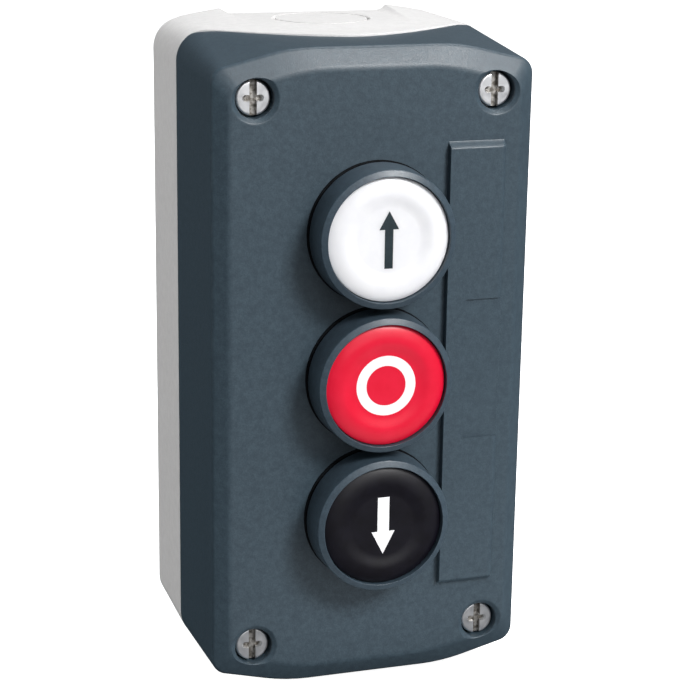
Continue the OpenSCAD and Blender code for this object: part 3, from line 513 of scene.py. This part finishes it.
def face_outline(inset):
    """The outline of the lid's flat face, drawn in by an inset."""
    return plan(drawn_in(face_corner, inset), drawn_in(face_shoulder, inset), lid_run)


def lid_wall(inset, low_z, high_z, height):
    """One ring of the lid's wall, which runs straight from a plain plan up to a shouldered one,
    at a height that may follow x."""
    peg = (corner_x, corner_y, corner_r - inset)
    feet = plan(peg, peg, lid_run)
    ring = []
    for (x0, y0), (x1, y1) in zip(feet, edge_outline(inset)):
        share = 0.5
        for _ in range(14):
            x = x0 + (x1 - x0) * share
            share = (height(x) - low_z) / (high_z - low_z)
        ring.append((x, y0 + (y1 - y0) * share, height(x)))
    return ring


def turned_edge(under, edge, over, steps=5):
    """The rings that carry a skin round an edge in a fillet, from one ring to another."""
    made = []
    for k in range(steps + 1):
        t = k / steps
        ring = []
        for a, b, c in zip(under, edge, over):
            a, b, c = Vector(a), Vector(b), Vector(c)
            ring.append(tuple(a * (1 - t) ** 2 + b * (2 * t * (1 - t)) + c * t * t))
        made.append(ring)
    return made


def lerp_ring(ring, other, run):
    """A ring a fixed run from one towards another."""
    made = []
    for a, b in zip(ring, other):
        a, b = Vector(a), Vector(b)
        made.append(tuple(a + (b - a).normalized() * run))
    return made


rings = [
    [(x, y, inner_top_z) for x, y in edge_outline(3.4)],
    lid_wall(wall, inner_foot_z, inner_top_z, lambda x: 49.7),
    lid_wall(wall, inner_foot_z, inner_top_z, lambda x: joint_z(x) + 0.2),
    lid_wall(2.8, inner_foot_z, inner_top_z, joint_z),
    lid_wall(0.2, foot_z, edge_z, joint_z),
    lid_wall(0.06, foot_z, edge_z, lambda x: joint_z(x) + 0.06),
    lid_wall(0, foot_z, edge_z, lambda x: joint_z(x) + 0.22),
]
under = lid_wall(0, foot_z, edge_z, lambda x: 50.1)
edge = [(x, y, edge_z) for x, y in edge_outline(0)]
face = [(x, y, face_z) for x, y in face_outline(0)]
inner_face = [(x, y, face_z) for x, y in face_outline(0.8)]
rings += turned_edge(under, edge, lerp_ring(edge, face, 0.7))
rings += turned_edge(lerp_ring(face, edge, 0.8), face, inner_face)
lid = loft("lid_shell", rings)

# The label strip: how far its left side, its right side and its ends are drawn in, and its height.
strip_left, strip_right, strip_end = 14.9, 27.2, 47.5
strip = [(0, 0, -0.3, 51.6)]
foot = [(0, 0, -0.3, 52.98), (0, 0, -0.02, 53), (0.02, 0.05, 0.2, 53.36)]
brow = [(0.04, 0.22, 0.62, 54.07), (0.05, 0.5, 0.86, 54.5), (0.12, 1.7, 1.3, 54.5)]
for bend in (foot, brow):
    for i in range(6):
        t = i / 5
        strip.append([a * (1 - t) ** 2 + b * 2 * t * (1 - t) + c * t * t for a, b, c in zip(*bend)])
rings = []
for left, right, end, z in strip:
    x0, x1, y1 = strip_left + left, strip_right - right, strip_end - end
    corner_line = eased([(x1, -y1), (x1, y1), (x0, y1), (x0, -y1)], [0.5, 0.5, 0.2, 0.2], 4)
    rings.append([(x, y, z) for x, y in corner_line])
additions, buried_z, rib_end = [loft("strip", rings)], 51, 52.7
for x, y in corners:
    spot = (screw_x * x, screw_y * y)
    additions.append(rod("column", post_r, post_z, buried_z, spot, 64))
    web = sorted((screw_x * x, 32.3 * x))
    across_web = (screw_y * y - web_half, screw_y * y + web_half)
    additions.append(block("web", web, across_web, (31.24, buried_z)))
for side in (-1, 1):
    rib = sorted((strip_left * side, 16.5 * side))
    additions.append(block("rib", rib, (-rib_end, rib_end), (46.2, buried_z)))
lid = worked(lid, additions, "UNION")

# The middle field of the strip lies 0.4 mm lower than the two beside it.
cutters = [block("field", (19.2, 32), (-15, 15), (54.1, 58))]
for row in button_rows:
    cutters.append(rod("panel_hole", 11.2, 45, 58, (0, row), 96))
    cutters.append(block("key_notch", (-1.6, 1.6), (row, row + 12.2), (44.5, 58.5)))
# Each screw's clearance hole opens into a pocket for its head, with a broad rounded mouth.
pocket_floor, pocket_r = 48.4, 3.95
dish = [(0, 24), (2.25, 24), (2.25, pocket_floor), (pocket_r, pocket_floor), (pocket_r, 52.3)]
dish += [(4.85, 52.97), (7.5, 53.2), (7.5, 60), (0, 60)]
dish = eased(dish, [0, 0, 0.1, 0.1, 0.3, 0.5, 0, 0, 0])
for x, y in corners:
    cutters.append(turned("screw_pocket", dish, (screw_x * x, screw_y * y), 96, False))
lid = worked(lid, cutters)

# ABS, pigmented slate, from a spark-eroded mould: dark, matt, faintly mottled, with a sheen on
# its grain.
slate_abs = moulded("slate_abs_moulded", "#35434d", "#40505a", 1.3, 0.32, 0.035, 0.42)
dressed(lid, slate_abs)
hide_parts("enclosure_lid")
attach(lid, "station")


# LID SCREWS
# Four long thread-forming screws of zinc-plated steel that draw the lid onto the base. Each head
# is flat with a rounded rim, and has a slot right across it and a shorter cross slot.
def thread(pitch, depth, low, high, only_r=None):
    """A thread cut into a turned shape, or into one radius of it, and faded out at both ends."""

    def swell(a, r, z):
        """The radius at one angle and height: the groove runs in and out over one pitch."""
        if not low < z < high or (only_r and r != only_r):
            return r
        fade = min(1, (z - low) / pitch, (high - z) / pitch)
        return r - depth * fade * abs(2 * ((z / pitch - a / (2 * math.pi)) % 1) - 1)

    return swell


def slotted_screw(name, head_r, top_z, under_z, shank_r, tip_z, plain_z, pitch):
    """One screw on the line off the wall, from its tip to its slotted head."""
    taper, slot_half, slot_deep = 1, 0.75, 1
    run = plain_z - tip_z - taper
    count = round(run / pitch * 8)
    shank = [(shank_r, tip_z + taper + run * i / count) for i in range(count + 1)]
    head = [(shank_r, under_z), (head_r, under_z), (head_r, top_z), (0, top_z)]
    profile = [(0, tip_z), (shank_r * 0.55, tip_z)] + shank + eased(head, [0, 0.2, 0.45, 0])
    cutting = thread(pitch, shank_r * 0.2, tip_z + 0.8, plain_z)
    screw = turned(name, profile, (0, 0), 48, False, cutting)
    full = block("full_slot", (-slot_half, slot_half), (-9, 9), (top_z - slot_deep, top_z + 2))
    rings = []
    for share, z in ((0, top_z - 0.95), (1, top_z), (1.9, top_z + 0.9)):
        half, waist, end = 1.5 + 0.7 * share, 0.4 + 0.12 * share, 0.55 + 0.2 * share
        line = [(0, -waist), (half, -end), (half, end), (0, waist), (-half, end), (-half, -end)]
        rings.append([(a, b, z) for a, b in eased(line, [0, end * 0.9, end * 0.9] * 2)])
    return worked(screw, [full, loft("cross_slot", rings)])


# Zinc-plated steel, barrel-plated and clear-passivated: bright, faintly blue, with tumbling marks,
# and down in its slots dulled and darkened, the darkening a painted shade.
def plated(name, dark, light, rough, slot_top=None):
    """Plated steel: a cool metal whose brightness and gloss drift over a millimetre or two."""
    material, tree, shader, place = fresh(name)
    cloud, spread = noise(tree, place, 700, 4), 0.08
    tint = mixed(tree, cloud, dark, light)
    gloss = ramp(tree, cloud, 0.3, 0.7, rough - spread, rough + spread)
    if slot_top:
        off_wall = add(tree, "SeparateXYZ", {"Vector": place}).outputs["Y"]
        face, floor = -slot_top / 1000 + 0.0003, -slot_top / 1000 + 0.00085
        deep = ramp(tree, off_wall, face, floor)
        shade_patches = ramp(tree, noise(tree, place, 1300, 2), 0.38, 0.62)
        # Painted shade: below the slot's face the colour is mixed towards patchy grey-browns, and
        # the gloss is dulled there too.
        slot_shade = mixed(tree, shade_patches, "#c4c1bc", "#7a756e")
        tint = mixed(tree, deep, tint, slot_shade)
        gloss = add(tree, "Mix", {0: deep, 2: gloss, 3: 0.6}).outputs[0]
    marks = noise(tree, place, 3500, 2)
    bump = add(tree, "Bump", {"Height": marks, "Distance": 0.00002, "Strength": 0.5})
    tree.links.new(tint, shader.inputs["Base Color"])
    tree.links.new(gloss, shader.inputs["Roughness"])
    tree.links.new(bump.outputs["Normal"], shader.inputs["Normal"])
    shader.inputs["Metallic"].default_value = 1
    return material


head_top, clamp_top = 51.2, 19.3
zinc_steel = plated("zinc_plated_steel", "#e6e8ea", "#f8f8f9", 0.44, head_top)
terminal_steel = plated("zinc_plated_terminal", "#cfd1d4", "#ebecee", 0.34, clamp_top)


def new_tree(name, inputs):
    """An empty modelling tree, and the sockets of its named inputs."""
    tree = bpy.data.node_groups.new(name, "GeometryNodeTree")
    for label, kind in inputs.items():
        tree.interface.new_socket(label, in_out="INPUT", socket_type="NodeSocket" + kind)
    tree.interface.new_socket("Geometry", in_out="OUTPUT", socket_type="NodeSocketGeometry")
    return tree, add(tree, "NodeGroupInput", {}).outputs


def maths(tree, operation, *terms):
    """One step of arithmetic in a tree, on numbers and on the results of other steps."""
    return add(tree, "Math", dict(enumerate(terms)), operation=operation).outputs[0]


def shaped(tree, kind, sockets, **settings):
    """The geometry that one modelling node gives."""
    return add(tree, "GeometryNode" + kind, sockets, **settings).outputs[0]


set_out_inputs = {
    "Piece": "Object",
    "Across count": "Int",
    "Across span": "Float",
    "Up count": "Int",
    "Up span": "Float",
    "Up centre": "Float",
    "Material": "Material",
}
set_out, given = new_tree("set_out_in_rows", set_out_inputs)
half_across = maths(set_out, "MULTIPLY", given["Across span"], 0.5)
back_across = maths(set_out, "MULTIPLY", given["Across span"], -0.5)
half_up = maths(set_out, "MULTIPLY_ADD", given["Up span"], 0.5, given["Up centre"])
back_up = maths(set_out, "MULTIPLY_ADD", given["Up span"], -0.5, given["Up centre"])
first = add(set_out, "CombineXYZ", {"X": back_across}).outputs[0]
last = add(set_out, "CombineXYZ", {"X": half_across}).outputs[0]
low = add(set_out, "CombineXYZ", {"Z": back_up}).outputs[0]
high = add(set_out, "CombineXYZ", {"Z": half_up}).outputs[0]
ends = {"Count": given["Across count"], "Start Location": first, "Offset": last}
across = shaped(set_out, "MeshLine", ends, mode="END_POINTS")
ends = {"Count": given["Up count"], "Start Location": low, "Offset": high}
up = shaped(set_out, "MeshLine", ends, mode="END_POINTS")
rows = shaped(set_out, "InstanceOnPoints", {"Points": up, "Instance": across})
places = shaped(set_out, "RealizeInstances", {"Geometry": rows})
shape = add(set_out, "GeometryNodeObjectInfo", {"Object": given["Piece"]}).outputs["Geometry"]
copies = shaped(set_out, "InstanceOnPoints", {"Points": places, "Instance": shape})
solid = shaped(set_out, "RealizeInstances", {"Geometry": copies})
coated = shaped(set_out, "SetMaterial", {"Geometry": solid, "Material": given["Material"]})
add(set_out, "NodeGroupOutput", {"Geometry": coated})


def modelled(name, tree, **sizes):
    """A plain mesh made by a modelling tree, whose named inputs are given with _ for a space."""
    piece = bpy.data.objects.new(name, bpy.data.meshes.new(name))
    scene.collection.objects.link(piece)
    step = piece.modifiers.new(tree.name, "NODES")
    step.node_group = tree
    inputs = [item for item in tree.interface.items_tree if item.in_out == "INPUT"]
    sockets = {item.name: item.identifier for item in inputs}
    for key, value in sizes.items():
        step[sockets[key.replace("_", " ").capitalize()]] = value
    return settled(piece)


def set_at(name, single, across, up, centre, material):
    """Copies of one piece on a grid of places, as one mesh. The single piece is used up."""
    many = modelled(
        name,
        set_out,
        piece=single,
        across_count=across[0],
        across_span=across[1] / 1000,
        up_count=up[0],
        up_span=up[1] / 1000,
        up_centre=centre / 1000,
        material=material,
    )
    bpy.data.objects.remove(single)
    return dressed(many, material)


under_head = 49.6
across, up = (2, 2 * screw_x), (2, 2 * screw_y)
single = slotted_screw(
    "lid_screw",
    head_r=3.5,
    top_z=head_top,
    under_z=under_head,
    shank_r=1.95,
    tip_z=11.6,
    plain_z=32,
    pitch=1.6,
)
screws = set_at("cover_screws", single, across, up, 0, zinc_steel)
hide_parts("lid_screws")
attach(screws, "station")

# Rubber washers under the screw heads, which seal the pockets.
washer = [(2.1, pocket_floor), (3.5, pocket_floor), (3.5, under_head), (2.1, under_head)]
washer = turned("washer", eased(washer, [0.15, 0.3, 0.3, 0.15], 3), sides=48)
seals = set_at("screw_washers", washer, across, up, 0, black_nitrile)
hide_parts("lid_screw_seals")
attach(seals, "station")


# HEADS
# Each button's head is a slate ABS collar in one piece with a flange and a threaded barrel, which
# goes through a panel hole from the front. Its rubber seal is drawn out past the collar's foot as a
# black lip: painted shade, a dark part put where shade falls at the foot and between the collars.
# A key stops it turning, and a round nut of black nylon holds it from behind.
BUTTONS = dict(zip(("up", "stop", "down"), reversed(button_rows)))

# The lid's slate ABS out of a more finely sparked mould: a little smoother, with more sheen.
head_slate = moulded("slate_abs_collar", "#35424c", "#404f5a", 1.3, 0.32, 0.03, 0.36)
# Glass-filled nylon, black: dull, and greyed in fine specks where glass lies at the skin.
black_nylon = moulded("black_glass_filled_nylon", "#1d1f21", "#333638", 1.0, 0.3, 0.05, 0.5)

barrel_r, bore_r, nut_bore_r, flange_z = 11, 5.08, 11.06, 53.9
pitch, depth, thread_end, thread_start = 1.5, 0.4, 38.5, 52.7
barrel = [(bore_r, 38), (barrel_r, 38)]
barrel += [(barrel_r, z / 10) for z in range(386, 528, 2)] + [(barrel_r, flange_z)]
flange = [(barrel_r, flange_z), (13.4, flange_z), (13.6, 54.1), (14.45, 54.2), (14.08, 60.9)]
mouth = [(12.74, 61.45), (12.74, 54.6), (8.5, 54.6), (8.5, 40), (bore_r, 40)]
collar = eased(flange + mouth, [0, 0, 0.1, 0.12, 0.3, 0.1, 0.2, 0.2, 0.3, 0])[1:]
nut_thread = [(nut_bore_r, z / 10) for z in range(502, 451, -2)]
for button, row in BUTTONS.items():
    cutting = thread(pitch, depth, thread_end, thread_start, barrel_r)
    bezel = turned(button + "_collar", barrel + collar, (0, row), 128, True, cutting)
    key = block("key", (-1.4, 1.4), (row + 10.2, row + 12), (50.2, flange_z))
    bezel = dressed(worked(bezel, [key], "UNION"), head_slate)
    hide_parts(button + "_bezel")
    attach(bezel, "station")

    # The seal's lip reaches out to 14.66 mm, past the collar's foot at 14.45 mm, so that a black
    # line shows round each collar and fills most of the gap between them: painted shade.
    ring = [(11.4, face_z), (14.66, face_z), (14.66, 53.3), (13.4, 53.6)]
    ring += [(13.4, flange_z), (11.4, flange_z)]
    ring = eased(ring, [0.2, 0, 0.15, 0.1, 0.1, 0.2], 3)
    seal = dressed(turned(button + "_head_seal", ring, (0, row)), black_nitrile)
    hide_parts(button + "_bezel_seal")
    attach(seal, "station")

    outer = eased([(nut_bore_r, 45.2), (14.3, 45.2), (14.3, 50.2)], [0, 0.4, 0.4])
    cutting = thread(pitch, depth, thread_end, thread_start, nut_bore_r)
    nut = turned(button + "_nut", outer + nut_thread, (0, row), 128, True, cutting)
    notches, notch_out = [], 15.3
    for i in range(8):
        a = math.radians(22.5 + 45 * i)
        spot = (notch_out * math.cos(a), row + notch_out * math.sin(a))
        notches.append(rod("notch", 2, 44, 52, spot, 32))
    nut = dressed(worked(nut, notches), black_nylon)
    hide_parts(button + "_lock_nut")
    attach(nut, "station")


# CAPS
# Glossy ABS caps, a shallow dish with a rounded rim and a spigot below. Each mark is moulded in
# its own colour in a pocket, flush with the dish: an arrow up, a ring and an arrow down.
def arrow(length, head_w, head_l, shaft_w, turn, row):
    """The outline of an arrow, anticlockwise, pointing up or turned down."""
    tip = length / 2
    half = [(shaft_w / 2, -tip), (shaft_w / 2, tip - head_l), (head_w / 2, tip - head_l), (0, tip)]
    whole = half + [(-x, y) for x, y in half[2::-1]]
    return [(x * turn, y * turn + row) for x, y in whole]


def polished(name, dark, light, rough):
    """ABS out of a polished mould: glossy and even, with the faintest swirl of its flow."""
    return moulded(name, dark, light, 6, 3, 0.008, rough, 0.02)


def translucent(material, weight, depth):
    """Lets a share of the light a little way into a material, and gives its shader's inputs."""
    skin = material.node_tree.nodes["Principled BSDF"].inputs
    skin["Subsurface Weight"].default_value = weight
    skin["Subsurface Scale"].default_value = depth
    return skin


# ABS, pigmented white, red and black, from polished moulds. The white one lets light in, which
# evens out the shading of its dish.
white_abs = polished("white_abs_polished", "#efeff2", "#f2f2f4", 0.3)
red_abs = polished("red_abs_polished", "#de1032", "#e21336", 0.3)
black_abs = polished("black_abs_polished", "#06040b", "#0a0812", 0.4)
translucent(white_abs, 0.5, 0.0015)["Subsurface Radius"].default_value = (1, 1, 1)

# The marks are a second shot of ABS, dark or white, and satin beside the polished caps.
mark_grey = moulded("dark_mark_abs", "#1f2b30", "#28353a", 1.5, 0.4, 0.01, 0.4)
mark_white = moulded("white_mark_abs", "#eeeef0", "#f8f8fa", 1.5, 0.4, 0.01, 0.4)
CAPS = {
    "up": ("cap_white", white_abs, mark_grey),
    "stop": ("cap_red", red_abs, mark_white),
    "down": ("cap_black", black_abs, mark_white),
}


def dished(r):
    """The height of a cap's face: flat round its mark, up to a broad rim and rounded over."""
    floor_r, floor_z, rim_r, rim_z = 6.4, 60.7, 9.4, 61.2
    if r < rim_r:
        rise = max(0, (r - floor_r) / 3)
        return floor_z + 0.5 * rise * rise * (3 - 2 * rise)
    return rim_z - 0.78 * ((r - rim_r) / 3.1) ** 2


spigot = [(0, 56.2), (2.3, 56.2), (2.5, 56.4), (2.5, 59.2)]
skirt = [(11, 59.2), (11, 59), (12.5, 59), (12.6, 59.1), (12.6, 60.2), (12.57, 60.35)]
crown = [(r / 10, dished(r / 10)) for r in range(125, 63, -1)] + [(0, 60.7)]
mark_foot, mark_over = 60.3, 62
for button, row in BUTTONS.items():
    slot, plastic, mark = CAPS[button]
    cap = turned(button + "_button_cap", spigot + skirt + crown, (0, row), 128, False)
    if button == "stop":
        groove = [(4.15, mark_foot), (6.25, mark_foot), (6.25, mark_over), (4.15, mark_over)]
        pocket = turned("pocket", groove, (0, row), 128)
    elif button == "up":
        outline = arrow(length=11.6, head_w=4.1, head_l=3.7, shaft_w=1.75, turn=1, row=row)
        pocket = prism("pocket", outline, mark_foot, mark_over)
    else:
        outline = arrow(length=12.3, head_w=5, head_l=4.9, shaft_w=2.5, turn=-1, row=row)
        pocket = prism("pocket", outline, mark_foot, mark_over)
    cap = dressed(worked(cap, [pocket]), plastic)
    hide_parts(button + "_cap")
    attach(cap, button + "_button")
    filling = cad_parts[button + "_mark"].data.materials
    filling.clear()
    filling.append(mark)


# PLUNGERS AND SPRINGS
# White acetal plungers snap into the barrels and carry the caps. Steel coil springs with closed
# ends push them back, and smaller ones of the same wire steel press the contact parts.
coil_inputs = {
    "Foot": "Vector",
    "Length": "Float",
    "Outside": "Float",
    "Wire": "Float",
    "Turns": "Float",
    "Closed turns": "Float",
    "Material": "Material",
}
coil, given = new_tree("closed_end_coil", coil_inputs)
turns, closed, gauge = given["Turns"], given["Closed turns"], given["Wire"]
steps_a_turn, squeezed = 28, 1.05
steps = maths(coil, "MULTIPLY", turns, steps_a_turn)
line = shaped(coil, "CurvePrimitiveLine", {})
points = shaped(coil, "ResampleCurve", {"Curve": line, "Count": steps})
share = add(coil, "GeometryNodeSplineParameter", {}).outputs["Factor"]
wound = maths(coil, "MULTIPLY", share, turns)
angle = maths(coil, "MULTIPLY", wound, 2 * math.pi)
open_end = maths(coil, "SUBTRACT", turns, closed)
stack = maths(coil, "MULTIPLY", closed, gauge)
flat = maths(coil, "MULTIPLY", stack, squeezed)
climb = maths(coil, "SUBTRACT", given["Length"], gauge)
rise = maths(coil, "MULTIPLY_ADD", flat, -2, climb)
foot = ramp(coil, wound, 0, closed, 0, flat)
body = ramp(coil, wound, closed, open_end, 0, rise)
head = ramp(coil, wound, open_end, turns, 0, flat)
low = maths(coil, "ADD", foot, body)
height = maths(coil, "ADD", low, head)
lifted = maths(coil, "MULTIPLY_ADD", gauge, 0.5, height)
off_wall = maths(coil, "MULTIPLY", lifted, -1)
across = maths(coil, "SUBTRACT", given["Outside"], gauge)
radius = maths(coil, "MULTIPLY", across, 0.5)
cosine = maths(coil, "COSINE", angle)
sine = maths(coil, "SINE", angle)
east = maths(coil, "MULTIPLY", cosine, radius)
north = maths(coil, "MULTIPLY", sine, radius)
spot = add(coil, "CombineXYZ", {"X": east, "Y": off_wall, "Z": north}).outputs[0]
place = add(coil, "VectorMath", {0: spot, 1: given["Foot"]}, operation="ADD").outputs[0]
helix = shaped(coil, "SetPosition", {"Geometry": points, "Position": place})
half_wire = maths(coil, "MULTIPLY", gauge, 0.5)
section = shaped(coil, "CurvePrimitiveCircle", {"Resolution": 12, "Radius": half_wire})
sweeping = {"Curve": helix, "Profile Curve": section, "Fill Caps": True}
wire = shaped(coil, "CurveToMesh", sweeping)
solid = shaped(coil, "RealizeInstances", {"Geometry": wire})
coated = shaped(coil, "SetMaterial", {"Geometry": solid, "Material": given["Material"]})
add(coil, "NodeGroupOutput", {"Geometry": coated})

# Hard-drawn spring wire, bright zinc: a slightly darker steel than the screws.
spring_wire = plated("drawn_spring_wire", "#8d9093", "#b4b6b8", 0.28)
# Acetal, natural white: waxy, a little translucent at its edges, with a satin skin.
white_acetal = moulded("white_acetal_moulded", "#e6e5e1", "#f1f0ec", 3, 0.5, 0.01, 0.38)
translucent(white_acetal, 0.1, 0.001)


def spring(name, row, low, high, outside, wire, turns, closed):
    """A coil spring with closed ends on the line of one button."""
    piece = modelled(
        name,
        coil,
        foot=bench(0, row, low),
        length=(high - low) / 1000,
        outside=outside / 1000,
        wire=wire / 1000,
        turns=turns,
        closed_turns=closed,
        material=spring_wire,
    )
    return dressed(piece, spring_wire, 60)


for button, row in BUTTONS.items():
    returning = spring(
        button + "_return_coil", row, 40, 57.8, outside=16.2, wire=0.9, turns=5.5, closed=1.0
    )
    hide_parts(button + "_return_spring")
    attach(returning, "station")
    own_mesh(returning)

    lifting = spring(
        button + "_carrier_coil", row, 3, 10.8, outside=4.4, wire=0.5, turns=5.0, closed=1.0
    )
    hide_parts(button + "_carrier_spring")
    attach(lifting, "station")
    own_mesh(lifting)

    span = (12.6, 17.2) if button == "stop" else (15.2, 21.0)
    pressing = spring(
        button + "_contact_coil", row, *span, outside=4.4, wire=0.5, turns=4.0, closed=0.8
    )
    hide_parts(button + "_contact_spring")
    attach(pressing, button + "_contact")


# CONTACT BLOCKS
# One snap-in block behind each head: a light grey PBT housing, a blue slide, a brass bridge whose
# silver-faced tips are drawn in its brass, bent brass terminals, and a clamp plate under each
# terminal screw.
def softened(node, name, width, material):
    """A CAD part's own shape with its sharp edges broken, as a mould or a press leaves them."""
    piece = bpy.data.objects.new(name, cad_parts[node].data.copy())
    scene.collection.objects.link(piece)
    bm = bmesh.new()
    bm.from_mesh(piece.data)
    bmesh.ops.remove_doubles(bm, verts=bm.verts, dist=2e-6)
    bmesh.ops.dissolve_limit(bm, angle_limit=math.radians(1), verts=bm.verts, edges=bm.edges)
    bm.to_mesh(piece.data)
    bm.free()
    broken = piece.modifiers.new("broken_edges", "BEVEL")
    broken.width = width / 1000
    broken.segments = 2
    broken.limit_method = "ANGLE"
    broken.angle_limit = math.radians(40)
    dressed(settled(piece), material)
    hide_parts(node)
    return piece


# PBT, pigmented light grey and blue, from finely sparked moulds: denser and duller than ABS.
grey_pbt = moulded("light_grey_pbt_moulded", "#b4b6b6", "#c6c8c7", 2, 0.4, 0.02, 0.42)
blue_pbt = moulded("blue_pbt_moulded", "#1d4f9c", "#2a62b4", 2, 0.4, 0.02, 0.4)
# Steel strip, stamped and then zinc-plated: a shade darker than the screws, and as soft in gloss.
plate_steel = plated("zinc_plated_strip", "#c4c6c9", "#dddfe1", 0.34)
# Brass strip, stamped and bent and left bare: warm, bright, drifting a little in its colour.
brass = plated("stamped_brass", "#c39a4e", "#dcb768", 0.27)
# Each part's node and name, the width of its broken edges, its material, its slot and its body.
BLOCK_PARTS = (
    ("contact_housing", "block_housing", 0.25, grey_pbt, "housing_plastic", "station"),
    ("contact_carrier", "block_slide", 0.2, blue_pbt, "blue_plastic", "contact"),
    ("contact_bridge", "bridge_bar", 0.08, brass, "contact_brass", "contact"),
    ("terminals", "terminal_bars", 0.08, brass, "contact_brass", "station"),
    ("wire_clamps", "clamp_plates", 0.12, plate_steel, "screw_steel", "station"),
    ("plunger", "head_plunger", 0.15, white_acetal, "white_plastic", "button"),
)
for button, row in BUTTONS.items():
    for node, name, width, material, slot, body in BLOCK_PARTS:
        part = softened(f"{button}_{node}", f"{button}_{name}", width, material)
        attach(part, "station" if body == "station" else f"{button}_{body}")
    single = slotted_screw(
        "terminal_screw",
        head_r=3.2,
        top_z=clamp_top,
        under_z=17.1,
        shank_r=1.7,
        tip_z=9.6,
        plain_z=14,
        pitch=0.7,
    )
    across, up = (2, 2 * block_x), (1, 0)
    pair = set_at(button + "_clamp_screws", single, across, up, row, terminal_steel)
    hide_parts(button + "_terminal_screws")
    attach(pair, "station")
